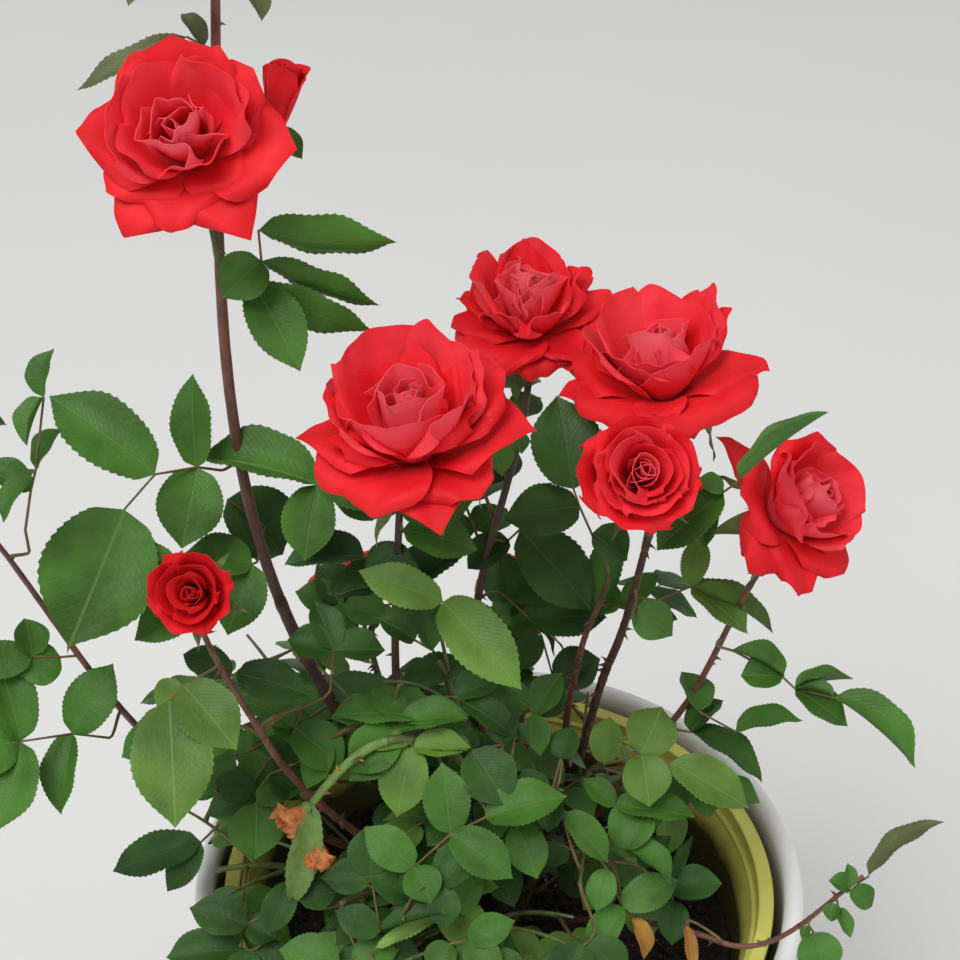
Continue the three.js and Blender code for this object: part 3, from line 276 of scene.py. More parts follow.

# Leaves placed one by one, most of them after the photograph: mass, green, rachis, then the
# leaflets, each with the rachis point where it sits, its tip, its width and how far its face turns
# from the viewer to the sky.
# Many of the low leaves take the dark green as painted shade, for the shadow under the mound of leaves.
PLACED = (
    ("tall", "middle", ((-120, 8, 509), (-129, 2, 515), (-144, -14, 523), (-155, -30, 517)), (
        (1, -130, 21, 550, 19, 24), (1, -135, -22, 490, 30, 0), (2, -189, 10, 546, 28, 12),
        (3, -176, -71, 478, 48, 0),
    )),
    ("tall", "dark", ((-106, 22, 469), (-122, 30, 477)), (
        (1, -101, 25, 453, 35, 20),
    )),
    ("front", "middle", ((-60, 0, 511), (-73, 2, 506), (-79, 2, 506)), (
        (2, -130, 13, 512, 26, 40), (2, -84, -18, 480, 23, 10), (1, -55, -4, 491, 17, 30),
    )),
    ("front", "dark", ((-42, -4, 461), (-59, -6, 473)), (
        (1, -94, -8, 470, 20, 40), (1, -35, -16, 474, 19, 20), (0, -75, -5, 450, 19, 44),
    )),
    ("tall", "middle", ((-108, 16, 590), (-100, 10, 600), (-96, 8, 612), (-96, 6, 627)), (
        (1, -81, -14, 574, 22, 8), (1, -53, 6, 581, 20, -42), (2, -111, -4, 602, 20, 10),
        (2, -50, 15, 587, 17, -50), (3, -42, 7, 621, 23, -44),
    )),
    ("tall", "olive", ((-116, 40, 689), (-123, 44, 691)), (
        (1, -166, 32, 674, 12, 40), (0, -126, 57, 695, 9, 30),
    )),
    ("tall", "olive", ((-102, 44, 718), (-98, 46, 716)), (
        (1, -92, 31, 703, 11, 40), (0, -81, 54, 718, 13, 0),
    )),
    ("tall", "middle", ((-100, 40, 657), (-92, 42, 652)), (
        (1, -80, 35, 643, 12, 30),
    )),
    ("front_left", "middle", ((-126, -40, 477), (-134, -42, 499)), (
        (1, -164, -46, 498, 21, 12), (0, -153, -53, 466, 21, 20),
    )),
    ("tall", "middle", ((-107, 0, 465), (-108, -6, 469)), (
        (1, -137, -6, 475, 21, 20), (1, -118, -29, 448, 23, 10),
    )),
    ("left", "middle", ((-183, -32, 439), (-190, -34, 440), (-201, -38, 444)), (
        (1, -202, -40, 439, 19, 10), (2, -205, -27, 456, 16, 20), (2, -226, -43, 444, 17, 10),
    )),
    ("left", "middle", (
        (-194, -40, 503), (-193, -44, 517), (-187, -48, 540), (-183, -50, 552), (-174, -56, 590),
    ), (
        (3, -171, -47, 569, 13, 56), (3, -194, -69, 540, 13, 56), (4, -170, -45, 605, 13, 52),
        (4, -180, -68, 576, 11, 58), (2, -207, -43, 547, 14, 30),
    )),
    ("left", "middle", ((-174, -36, 394), (-186, -50, 410), (-206, -60, 415)), (
        (1, -169, -29, 432, 23, 12), (1, -189, -77, 388, 17, 30), (2, -217, -36, 441, 22, 20),
        (2, -214, -90, 391, 32, 20), (2, -233, -69, 417, 26, 10),
    )),
    ("front_left", "light", ((-119, -62, 459), (-131, -72, 458), (-136, -80, 457)), (
        (1, -143, -73, 446, 14, 30), (1, -108, -94, 443, 26, 8), (2, -131, -122, 427, 34, 0),
    )),
    ("front_left", "dark", ((-116, -40, 435), (-114, -40, 436)), (
        (1, -83, -44, 427, 21, 20), (0, -138, -30, 438, 15, 20),
    )),
    ("front", "light", ((-38, -22, 469), (-25, -34, 471)), (
        (1, 8, -68, 452, 26, 6), (1, -61, -23, 479, 19, 10), (1, 1, -39, 454, 17, 20),
    )),
    ("front", "dark", ((-38, -16, 434), (-30, -24, 435)), (
        (1, -46, 2, 464, 19, 34), (0, -53, -11, 441, 18, 30),
    )),
    ("red", "dark", ((46, 18, 452), (40, 14, 470), (34, 10, 488), (31, 8, 499)), (
        (1, 56, 10, 458, 19, 30), (2, 1, 3, 486, 23, 18), (3, 24, 37, 528, 30, 6),
    )),
    ("dark", "middle", ((77, -8, 495), (87, -18, 513), (91, -22, 520), (96, -28, 530)), (
        (1, 84, -33, 499, 12, 20), (2, 64, -32, 497, 21, 20), (2, 85, -21, 522, 12, 44),
        (3, 131, -19, 558, 10, 76),
    )),
    ("dark", "middle", ((60, 0, 440), (57, -12, 443)), (
        (0, 76, -11, 432, 18, 0),
    )),
    ("dark", "light", ((72, 12, 434), (85, 10, 443)), (
        (1, 110, -6, 429, 21, 40), (1, 124, 8, 417, 16, 52), (1, 91, 30, 456, 14, 10),
    )),
    ("right", "middle", (
        (98, -2, 418), (105, -4, 417), (126, -16, 412), (131, -20, 409), (147, -28, 411),
    ), (
        (2, 103, -10, 423, 15, 50), (2, 109, -13, 410, 18, 30), (4, 131, -21, 409, 9, 60),
        (3, 154, -33, 398, 18, 40), (3, 158, -15, 410, 11, 62), (4, 181, -54, 393, 19, 46),
    )),
    ("right", "middle", ((92, -2, 378), (108, -12, 375)), (
        (1, 139, -9, 379, 17, 52), (0, 88, 7, 383, 20, 50),
    )),
    ("right", "dark", ((83, 4, 361), (89, -2, 365)), (
        (1, 121, -22, 352, 20, 54), (1, 105, 11, 373, 17, 50),
    )),
    ("low_right", "light", ((48, -20, 362), (64, -26, 374), (77, -30, 373)), (
        (0, 51, -1, 374, 16, 10), (1, 74, -7, 386, 23, 0), (1, 67, -44, 359, 21, 10),
        (2, 112, -45, 359, 22, 20),
    )),
    ("runner", "olive", ((160, -70, 338), (164, -70, 342)), (
        (1, 197, -58, 364, 15, 56),
    )),
    ("runner", "middle", ((156, -72, 335), (155, -73, 338)), (
        (1, 155, -65, 345, 7, 30), (0, 161, -74, 332, 12, 20), (0, 150, -70, 337, 10, 30),
    )),
    ("runner", "middle", ((151, -74, 328), (151, -75, 327)), (
        (1, 156, -86, 319, 8, 30), (0, 148, -79, 322, 8, 30),
    )),
    ("runner", "middle", ((139, -76, 316), (141, -78, 314)), (
        (1, 146, -92, 302, 19, 0), (0, 136, -80, 311, 5, 20),
    )),
    ("low_top", "middle", ((-36, -29, 401), (-46, -35, 397)), (
        (0, -75, -29, 401, 18, 44), (1, -67, -50, 387, 21, 12), (1, -14, -32, 402, 18, 44),
    )),
    ("low_centre", "dark", ((0, -37, 391), (-13, -42, 392)), (
        (1, -39, -38, 388, 15, 50), (1, 3, -61, 377, 24, 8), (0, 5, -19, 401, 16, 30),
    )),
    ("low_centre", "middle", ((-7, -64, 373), (-22, -71, 370), (-38, -80, 359)), (
        (0, 29, -58, 380, 20, 24), (1, -26, -49, 392, 22, 0), (1, 5, -86, 358, 20, 10),
        (2, -60, -67, 370, 19, 0), (2, -31, -93, 351, 17, 10),
    )),
    ("low_front", "middle", ((-22, -100, 332), (-14, -98, 332)), (
        (1, 6, -93, 339, 14, 10), (0, -31, -110, 325, 15, 10), (1, -1, -113, 323, 16, 0),
    )),
    ("front", "dark", ((-47, 0, 444), (-54, 4, 446)), (
        (1, -78, 8, 441, 18, 40), (0, -12, 24, 459, 20, 30),
    )),
    ("front_left", "dark", ((-75, -30, 417), (-72, -36, 446)), (
        (1, -81, -19, 459, 16, 20), (1, -92, -33, 449, 16, 20), (1, -50, -33, 443, 16, 30),
    )),
    ("low_right", "middle", ((50, -10, 347), (52, -36, 351), (55, -51, 339)), (
        (2, 66, -32, 351, 20, 10), (2, 77, -65, 331, 16, 50), (1, 38, -25, 358, 12, 20),
        (1, 89, -39, 347, 16, 30),
    )),
    ("low_front_right", "middle", ((29, -50, 362), (48, -59, 335), (55, -67, 319)), (
        (2, 81, -57, 325, 16, 10), (2, 39, -84, 306, 15, 10), (0, 48, -64, 344, 14, 20),
        (1, 43, -74, 323, 13, 10),
    )),
    ("low_front_right", "dark", ((64, -47, 323), (79, -43, 304), (81, -45, 298)), (
        (1, 104, -42, 306, 16, 20), (2, 80, -62, 286, 16, 10), (0, 79, -36, 332, 12, 10),
        (1, 91, -24, 320, 7, 20),
    )),
    ("low_centre_left", "middle", ((-115, -30, 346), (-112, -32, 349)), (
        (1, -86, -22, 356, 16, 30), (1, -112, -50, 331, 24, 0), (0, -132, -32, 343, 18, 30),
    )),
    ("low_front_left", "dark", ((-62, -78, 354), (-57, -80, 353), (-53, -95, 334)), (
        (1, -78, -81, 352, 15, 10), (1, -59, -64, 368, 20, 0), (2, -73, -90, 342, 16, 6),
        (2, -23, -95, 346, 11, 50), (1, -37, -84, 341, 17, 20),
    )),
    ("low_far_left", "dark", ((-140, -20, 313), (-141, -24, 315)), (
        (1, -157, -38, 296, 16, 10), (1, -184, -28, 299, 19, 20),
    )),
    ("low_low_left", "dark", ((-113, -75, 317), (-114, -75, 316)), (
        (1, -141, -69, 320, 19, 10), (1, -105, -79, 314, 14, 10),
    )),
    ("low_top", "middle", ((-50, -23, 401), (-52, -22, 401)), (
        (1, -76, -26, 396, 14, 20), (0, -32, -18, 400, 15, 30),
    )),
    ("low_centre", "dark", ((-20, -20, 404), (-17, -22, 403)), (
        (1, 8, -35, 392, 14, 30), (0, 0, -12, 407, 15, 30),
    )),
    ("middle", "dark", ((3, 44, 409), (14, 42, 397), (20, 40, 388), (26, 38, 363)), (
        (1, 51, 44, 396, 22, 14), (2, 7, 32, 373, 14, 10), (3, 49, 46, 368, 21, 10),
        (3, 19, 24, 351, 18, 10), (0, 44, 60, 418, 29, 20),
    )),
    ("middle", "dark", ((4, 44, 443), (9, 44, 449)), (
        (1, 42, 27, 415, 30, 10), (0, -15, 36, 432, 16, 20), (1, 24, 60, 464, 16, 30),
    )),
    ("red", "middle", ((46, 30, 415), (57, 34, 413)), (
        (1, 39, 41, 411, 19, 20), (1, 74, 41, 426, 12, 10), (0, 57, 55, 442, 16, 20),
    )),
    ("front", "middle", ((-42, -14, 494), (-44, -12, 504)), (
        (1, -80, 0, 510, 19, 20), (1, -12, -4, 502, 24, 20), (0, -10, -14, 483, 20, 20),
    )),
    ("front_left", "middle", ((-90, -20, 392), (-93, -24, 389)), (
        (1, -71, -37, 375, 21, 16), (1, -118, -15, 398, 15, 30), (0, -88, -9, 398, 15, 20),
    )),
    ("low_centre_left", "dark", ((-91, -29, 373), (-106, -25, 360), (-113, -27, 349)), (
        (0, -108, -21, 380, 13, 20), (2, -132, -21, 354, 16, 20), (1, -92, -32, 351, 14, 20),
        (2, -135, -34, 343, 16, 20),
    )),
    ("low_top", "middle", ((-44, -30, 399), (-45, -35, 397)), (
        (1, -67, -51, 382, 22, 10), (0, -14, -29, 401, 15, 30), (0, -58, -17, 407, 15, 30),
    )),
    ("front", "dark", ((-44, 0, 390), (-48, 4, 384)), (
        (1, -86, 13, 378, 19, 30), (0, -12, 16, 391, 18, 40), (0, -28, 0, 383, 16, 30),
    )),
    ("low_top", "light", ((-40, -40, 395), (-39, -42, 394)), (
        (1, -13, -42, 394, 14, 30), (1, -46, -63, 372, 21, 10), (0, -67, -37, 393, 15, 40),
    )),
    ("low_centre", "middle", ((13, -16, 394), (15, -18, 392)), (
        (1, 28, -4, 404, 16, 20), (1, 18, -31, 378, 12, 10), (0, -4, -8, 397, 16, 30),
    )),
    ("low_centre", "dark", ((27, -31, 376), (23, -45, 371)), (
        (1, 6, -49, 369, 18, 30), (0, 32, -20, 384, 15, 20), (1, 21, -58, 357, 13, 10),
    )),
    ("low_front_left", "dark", ((-31, -84, 355), (-27, -85, 353)), (
        (1, -10, -72, 366, 17, 20), (1, -24, -98, 339, 14, 10), (0, -45, -82, 350, 15, 20),
    )),
    ("low_front_left", "dark", ((-89, -78, 335), (-93, -71, 339)), (
        (1, -104, -86, 322, 14, 10), (0, -73, -74, 336, 15, 20), (1, -77, -60, 347, 16, 20),
    )),
    ("low_low_left", "dark", ((-113, -81, 305), (-118, -78, 302)), (
        (1, -152, -80, 299, 18, 20), (0, -100, -88, 299, 21, 10), (0, -118, -93, 292, 18, 10),
    )),
    ("low_front_left", "middle", ((-66, -100, 321), (-71, -100, 320)), (
        (1, -98, -95, 322, 19, 10), (0, -60, -109, 312, 19, 10), (0, -45, -96, 323, 16, 20),
    )),
    ("low_front", "middle", ((-9, -100, 328), (-8, -101, 327)), (
        (1, 9, -112, 315, 18, 10), (0, -22, -112, 316, 18, 10), (1, -3, -90, 338, 15, 10),
    )),
    ("low_front_right", "dark", ((40, -84, 316), (37, -87, 316)), (
        (1, 26, -102, 303, 20, 10), (0, 55, -96, 303, 20, 10),
    )),
    ("back_left", "dark", ((-73, 78, 376), (-75, 74, 380)), (
        (1, -90, 85, 395, 22, 20), (0, -55, 87, 388, 21, 20), (1, -80, 67, 374, 13, 20),
    )),
    ("back", "middle", ((8, 86, 345), (7, 80, 360)), (
        (1, 4, 98, 384, 25, 20), (0, 27, 97, 361, 17, 20), (0, -12, 95, 357, 20, 20),
    )),
    ("back_left", "middle", ((-76, 70, 381), (-78, 68, 385)), (
        (0, -100, 74, 387, 18, 20), (0, -54, 67, 377, 19, 20), (1, -72, 55, 372, 13, 20),
    )),
    ("back", "dark", ((3, 84, 363), (1, 80, 374)), (
        (1, -1, 97, 397, 23, 20), (0, 18, 98, 381, 15, 20),
    )),
    ("low_front", "young", ((-57, -100, 327), (-55, -99, 328)), (
        (1, -24, -88, 337, 7, 20),
    )),
    ("low_centre_left", "middle", ((-77, -28, 385), (-81, -27, 382)), (
        (1, -105, -19, 389, 15, 20), (0, -87, -43, 369, 15, 20),
    )),
    ("low_right", "light", ((84, 11, 307), (79, 1, 317)), (
        (1, 59, -13, 301, 19, 20), (0, 82, -7, 287, 17, 20),
    )),
    ("low_front_right", "yellow", ((58, -66, 314), (60, -68, 312)), (
        (1, 65, -82, 300, 10, 40),
    )),
    ("runner", "yellow", ((86, -60, 300), (86, -62, 300)), (
        (1, 88, -80, 288, 6, 20),
    )),
)

# A placed leaflet's bend in radians, its greatest width as a share of its length, its fold, and the
# degrees of roll that add one to the fold.
LEAFLET_BEND = (0.2, 0.6)
WIDEST_SHARE = 0.95
LEAFLET_FOLD = 0.2
ROLL_FOLD = 90

# Places in the picture, across, down and radius in its pixels, that seeded leaves leave open: wall,
# pot, soil, stems and dried blooms show there. Then how near, in pixels, a seeded leaf may stand
# before a placed leaf or a flower, and the flowers that it may cover.
CLEARINGS = np.array((
    (283, 525, 9), (262, 640, 15), (313, 590, 10), (372, 624, 18), (412, 647, 20), (350, 620, 9),
    (500, 556, 9), (270, 703, 9), (376, 560, 7), (228, 425, 18), (168, 440, 8), (18, 590, 22),
    (100, 640, 14), (105, 792, 22), (40, 880, 44), (125, 930, 20), (690, 640, 16), (722, 685, 12),
    (645, 670, 18), (632, 696, 12), (610, 708, 8), (681, 750, 8), (800, 610, 26), (850, 640, 30),
    (830, 800, 30), (752, 850, 30), (745, 912, 34), (722, 842, 20), (714, 926, 24), (690, 828, 9),
    (704, 952, 18), (560, 920, 16), (568, 812, 8), (550, 895, 12), (526, 905, 12), (204, 880, 10),
    (232, 872, 10), (208, 862, 8), (292, 817, 17), (315, 852, 16), (300, 888, 14), (297, 915, 12),
    (327, 792, 9), (345, 778, 9), (365, 766, 9), (385, 757, 9), (335, 848, 7), (340, 806, 12),
    (600, 620, 8), (590, 680, 8), (580, 730, 8), (625, 620, 8), (610, 660, 8), (596, 720, 8),
    (570, 768, 8), (735, 610, 8), (700, 670, 8), (407, 650, 8), (210, 640, 8), (290, 610, 8),
    (650, 845, 7), (820, 700, 30),
), float)
SHOWN_ROOM = 7
UNSEEN = ("rose_back", "rose_back_left")

# Low shoots: foot, rise, tip, heading there, seed, shortest and longest terminal leaflet.
SHOOTS = {
    "low_front": Shoot((-92, 234), 50, (-6, -98, 318), (-92, 8), 31, (24, 34)),
    "low_front_left": Shoot((-122, 234), 54, (-72, -76, 330), (-135, 10), 42, (24, 34)),
    "low_low_left": Shoot((-148, 230), 40, (-134, -34, 306), (-165, -4), 33, (24, 34)),
    "low_far_left": Shoot((154, 232), 50, (-108, 22, 350), (165, 14), 34, (26, 36)),
    "low_centre": Shoot((-64, 258), 72, (4, -40, 372), (-90, 40), 35, (26, 36)),
    "low_centre_left": Shoot((205, 253), 60, (-64, -26, 392), (-150, 52), 36, (28, 38)),
    "low_top": Shoot((144, 262), 84, (-28, 6, 402), (150, 64), 49, (28, 40)),
    "low_right": Shoot((10, 229), 56, (58, 22, 326), (0, 24), 37, (22, 32)),
    "low_front_right": Shoot((-44, 252), 56, (50, -50, 330), (-45, 16), 38, (22, 30)),
}
SHOOT_RADII = (2.1, 1.4)
SHOOT_TWIGS = 6
SHOOT_LEAVES = 30

# Twigs on a shoot: length as a share of the shoot's, first place, step from twig to twig, how they
# swing and rise in degrees, and how their length varies.
TWIG_SHARE = 0.42
TWIG_FIRST = 0.3
TWIG_SPACING = 0.11
TWIG_SHIFT = (-0.04, 0.04)
TWIG_SWING = (38, 66)
TWIG_RISE = (18, 34)
TWIG_LENGTH = (0.75, 1.1)
TWIG_BEND = 34
TWIG_RADII = (1.2, 0.7)

# Blooms: mass, place on its stem, centre, facing, width, how far open, number of petals.
BLOOMS = {
    "rose_top_left": Bloom("tall", 0.5, (-120, -8, 677), (-92, 48), 84, 1, 26),
    "bud_top_left": Bloom("tall", 0.58, (-86, 25, 675), (40, 72), 15, 0, 9),
    "bud_tip": Bloom("tall", 1, (-106, 26, 790), (60, 84), 13, 0, 8),
    "rose_back_middle": Bloom("middle", 1, (12, 72, 557), (-110, 83), 76, 0.8, 34),
    "rose_right_middle": Bloom("dark", 0.9, (67, 32, 553), (165, 80), 88, 1, 30),
    "rose_front_middle": Bloom("front", 1, (-38, -30, 566), (-150, 82), 96, 1, 32),
    "rose_small_right": Bloom("dark", 1, (56, -36, 540), (-88, 46), 51, 0.45, 22),
    "rose_right": Bloom("right", 1, (133, 6, 495), (-30, 44), 74, 0.85, 28),
    "rose_bud_left": Bloom("front_left", 1, (-125, -60, 497), (-95, 42), 38, 0.2, 18),
    "rose_far_left": Bloom("left", 1, (-240, -50, 590), (190, 60), 44, 0.3, 18),
    "rose_back": Bloom("back", 1, (16, 130, 346), (80, 46), 62, 0.8, 26),
    "rose_back_left": Bloom("back_left", 1, (-72, 114, 360), (125, 50), 50, 0.5, 22),
}

# A flower's stalk, the width under which it is slimmer and by how much, and how far open a flower is
# whose heart and cup have their own colours.
STALK_RADIUS = 1.9
SMALL_BLOOM, SMALL_STALK = 30, 0.7
HALF_OPEN = 0.4

# A flower's height and how deep its foot lies under its centre, as shares of its width: for a closed
# bud, and for a rose less the second value times how far it is open. Then the heights that stand for
# it in the picture, and the middle and radius of the room that it keeps.
BUD_TALL, BUD_SINK = 1.85, 0.9
ROSE_TALL, ROSE_TALL_LOSS = 0.95, 0.4
ROSE_SINK, ROSE_SINK_LOSS = 0.46, 0.2
SHOWN_HEIGHTS = (0.3, 0.9)
BLOOM_MIDDLE, BLOOM_ROOM, SPENT_ROOM = 0.45, 0.46, 0.6

# Hips, turned from radius and height as shares of their swelling.
HIP_PROFILE = (
    (0, -2.3), (0.5, -2.1), (0.85, -1.6), (1.0, -1.0), (0.92, -0.4), (0.75, 0.1), (0.4, 0.3), (0, 0.3),
)
DRY_HIP_PROFILE = ((0, -1.2), (0.8, -0.6), (1.0, 0), (0.7, 0.8), (0, 1.0))

# Hips and sepals: the hip's share of the flower's width and its least radius, the number of sepals,
# their length and its gain with the width, and the degrees that they rise: on a closed bud, and on a
# rose, less the second value times how far it is open.
HIP_SHARE, LEAST_HIP = 0.065, 3.0
SEPALS = 5
SEPAL_LENGTH, SEPAL_GAIN = 14, 0.27
BUD_LIFT = 74
ROSE_LIFT, ROSE_LIFT_LOSS = 60, 95

# A petal's sheet: half its thickness, the shift that tells the UVs of its inner face from those of
# the outer one, steps of its centre line, where the curl starts and how fast it grows, the width of
# the claw, where the petal is widest, where its margin starts to roll and how long that takes.
PETAL_HALF_THICKNESS = 0.13
INNER_FACE_UV = np.array((2, 0))
PETAL_STEPS = 96
CURL_START, CURL_GROWTH = 0.72, 1.5
CLAW_WIDTH = 0.24
PETAL_WIDEST = 0.62
ROLL_START, ROLL_LENGTH, CLAW_ROLL = 0.28, 0.6, 0.1
EDGE_RUFFLE = 0.65

# Petals listed one by one, after the photograph: heading in the flower's face, 0 to the right and 90
# to the back, angle from the axis at the claw and near the tip, length and half width as shares of
# the flower's width, share of the half width that rolls back, curl at the tip, and how pointed it is.
GUARDS = {
    "rose_top_left": (
        (122, 36, 80, 0.58, 0.27, 0.5, 20, 0.16), (178, 40, 86, 0.6, 0.26, 0.55, 30, 0.2),
        (214, 46, 92, 0.5, 0.22, 0.55, 35, 0.14), (236, 58, 104, 0.58, 0.2, 0.5, 60, 0.2),
        (262, 46, 98, 0.5, 0.22, 0.6, 60, 0.12), (303, 52, 108, 0.6, 0.2, 0.6, 25, 0.24),
        (320, 36, 78, 0.42, 0.18, 0.7, 60, 0.1), (352, 42, 90, 0.58, 0.27, 0.45, 25, 0.18),
        (42, 34, 72, 0.52, 0.24, 0.45, 20, 0.1), (66, 30, 62, 0.54, 0.2, 0.5, 20, 0.14),
        (96, 28, 60, 0.56, 0.3, 0.35, 15, 0.14),
    ),
    "rose_front_middle": (
        (283, 62, 126, 0.56, 0.2, 0.5, 8, 0.28), (228, 62, 92, 0.47, 0.3, 0.2, 110, 0.03),
        (180, 50, 88, 0.56, 0.22, 0.55, 20, 0.28), (202, 36, 64, 0.46, 0.15, 0.65, 40, 0.12),
        (140, 18, 38, 0.52, 0.27, 0.2, 15, 0.08), (112, 26, 52, 0.52, 0.22, 0.4, 25, 0.14),
        (74, 12, 28, 0.54, 0.16, 0.5, 20, 0.14), (50, 20, 42, 0.54, 0.17, 0.5, 25, 0.14),
        (18, 34, 64, 0.56, 0.26, 0.4, 30, 0.12), (350, 50, 90, 0.58, 0.26, 0.35, 14, 0.26),
        (338, 22, 50, 0.5, 0.16, 0.7, 30, 0.1), (308, 56, 104, 0.46, 0.2, 0.4, 40, 0.1),
    ),
    "rose_right_middle": (
        (186, 56, 94, 0.58, 0.2, 0.45, 15, 0.22), (228, 54, 90, 0.52, 0.3, 0.15, 115, 0.03),
        (300, 56, 92, 0.56, 0.32, 0.15, 115, 0.03), (268, 62, 116, 0.5, 0.2, 0.4, 40, 0.12),
        (346, 50, 86, 0.6, 0.2, 0.65, 60, 0.16), (18, 28, 50, 0.58, 0.16, 0.55, 30, 0.18),
        (48, 22, 40, 0.58, 0.17, 0.55, 25, 0.18), (80, 26, 48, 0.5, 0.2, 0.4, 25, 0.14),
        (122, 32, 60, 0.5, 0.24, 0.4, 30, 0.12), (158, 42, 76, 0.5, 0.26, 0.5, 40, 0.1),
    ),
    "rose_back_middle": (
        (276, 58, 96, 0.52, 0.28, 0.15, 120, 0.03), (232, 54, 92, 0.54, 0.28, 0.15, 110, 0.04),
        (196, 46, 82, 0.54, 0.18, 0.5, 40, 0.12), (170, 40, 70, 0.52, 0.15, 0.5, 35, 0.14),
        (145, 32, 56, 0.54, 0.16, 0.45, 30, 0.14), (95, 12, 24, 0.62, 0.17, 0.35, 15, 0.2),
        (60, 26, 46, 0.5, 0.18, 0.5, 30, 0.12), (30, 34, 60, 0.56, 0.16, 0.6, 70, 0.1),
        (8, 44, 78, 0.54, 0.17, 0.55, 40, 0.14), (330, 54, 92, 0.52, 0.28, 0.2, 105, 0.05),
        (305, 52, 94, 0.46, 0.2, 0.5, 60, 0.1),
    ),
    "rose_right": (
        (100, 28, 46, 0.56, 0.28, 0.3, 20, 0.12), (148, 60, 106, 0.62, 0.13, 0.55, 15, 0.22),
        (236, 60, 102, 0.56, 0.2, 0.7, 50, 0.1), (275, 56, 94, 0.54, 0.2, 0.5, 50, 0.12),
        (318, 48, 82, 0.5, 0.22, 0.4, 40, 0.1), (0, 40, 68, 0.48, 0.22, 0.4, 40, 0.1),
        (50, 34, 58, 0.48, 0.22, 0.4, 30, 0.1), (190, 46, 76, 0.5, 0.24, 0.5, 40, 0.1),
    ),
    "rose_small_right": (
        (250, 62, 18, 0.6, 0.32, 0.4, 75, 0.1), (322, 60, 16, 0.6, 0.32, 0.4, 75, 0.1),
        (32, 56, 16, 0.58, 0.32, 0.35, 70, 0.08), (106, 56, 14, 0.58, 0.34, 0.35, 65, 0.08),
        (178, 62, 18, 0.6, 0.32, 0.4, 75, 0.1),
    ),
    "rose_bud_left": (
        (246, 46, 8, 0.74, 0.36, 0.35, 75, 0.12), (334, 44, 6, 0.74, 0.36, 0.4, 75, 0.12),
        (66, 40, 6, 0.74, 0.38, 0.3, 60, 0.08), (158, 44, 6, 0.74, 0.36, 0.4, 75, 0.12),
    ),
}
CUPS = {
    "rose_front_middle": (
        (262, 50, 2, 0.45, 0.25, 0.1, 12, 0.06), (318, 48, 10, 0.52, 0.19, 0.4, 18, 0.14),
        (200, 46, 8, 0.45, 0.2, 0.4, 30, 0.14), (66, 36, 4, 0.58, 0.18, 0.5, 20, 0.24),
        (122, 36, 2, 0.56, 0.25, 0.15, 15, 0.06), (14, 42, 10, 0.54, 0.18, 0.5, 30, 0.22),
    ),
    "rose_right_middle": (
        (305, 50, 8, 0.46, 0.24, 0.2, 18, 0.14), (215, 46, 12, 0.46, 0.24, 0.25, 30, 0.1),
        (258, 46, 6, 0.42, 0.2, 0.2, 20, 0.14), (150, 36, 2, 0.56, 0.26, 0.1, 15, 0.06),
        (90, 38, 8, 0.54, 0.19, 0.4, 25, 0.2), (30, 40, 14, 0.58, 0.16, 0.5, 20, 0.26),
    ),
    "rose_top_left": (
        (292, 44, 4, 0.38, 0.2, 0.15, 20, 0.12), (205, 40, 16, 0.46, 0.17, 0.5, 30, 0.2),
        (125, 34, 20, 0.5, 0.2, 0.4, 20, 0.24), (72, 30, 24, 0.5, 0.16, 0.6, 20, 0.26),
        (20, 36, 24, 0.5, 0.17, 0.5, 30, 0.24),
    ),
    "rose_right": (
        (262, 50, 2, 0.5, 0.27, 0.1, 12, 0.06), (196, 46, 4, 0.52, 0.24, 0.2, 20, 0.08),
        (120, 42, 4, 0.52, 0.24, 0.2, 20, 0.08), (330, 46, 8, 0.5, 0.22, 0.25, 25, 0.1),
        (50, 42, 8, 0.5, 0.22, 0.25, 25, 0.1),
    ),
    "rose_back_middle": (
        (300, 48, 12, 0.44, 0.2, 0.4, 30, 0.16), (235, 48, 14, 0.46, 0.2, 0.5, 35, 0.16),
        (10, 40, 14, 0.52, 0.17, 0.5, 30, 0.18), (150, 40, 14, 0.5, 0.18, 0.5, 30, 0.18),
        (85, 30, 6, 0.56, 0.22, 0.3, 20, 0.14),
    ),
    "rose_small_right": (
        (285, 48, 4, 0.58, 0.3, 0.3, 60, 0.08), (15, 46, 4, 0.58, 0.3, 0.3, 60, 0.08),
        (104, 44, 2, 0.6, 0.32, 0.25, 50, 0.06), (195, 48, 4, 0.58, 0.3, 0.3, 60, 0.08),
        (240, 34, 0, 0.58, 0.25, 0.2, 40, 0.1), (350, 34, 0, 0.58, 0.25, 0.2, 40, 0.1),
    ),
    "rose_bud_left": (
        (290, 32, 0, 0.76, 0.32, 0.25, 50, 0.1), (50, 30, 0, 0.76, 0.32, 0.2, 45, 0.08),
        (170, 32, 0, 0.76, 0.32, 0.25, 50, 0.1),
    ),
}

# The rings of a flower: petals drawn by the seed, the measures of the inmost and the outmost one in
# the same order as above, then foot, wrap, growth of the angle, sharpness, taper, turn of the rolled
# margin in radians, ruffle, spiral, widening and pointing.
RINGS = {
    "heart": ((6, -16, 0.38, 0.15, 0, 0, 0.08), (30, -4, 0.44, 0.22, 0.25, 15, 0.14)),
    "cup": ((36, 2, 0.46, 0.23, 0.15, 20, 0.1), (46, 14, 0.52, 0.26, 0.35, 35, 0.12)),
    "guard": ((34, 66, 0.5, 0.24, 0.45, 40, 0.12), (54, 100, 0.56, 0.25, 0.6, 55, 0.18)),
}
RING_FORMS = {
    "heart": (0.024, 0.75, 1.1, 1.8, 0.12, 2.8, 0.06, 0.03, 1.1, 1.4),
    "cup": (0.045, 0.66, 1.3, 1.6, 0.2, 3.4, 0.024, 0.014, 1.05, 1.4),
    "guard": (0.05, 0.4, 1.2, 1.2, 0.42, 3.9, 0.02, 0.0, 1.22, 1.8),
}
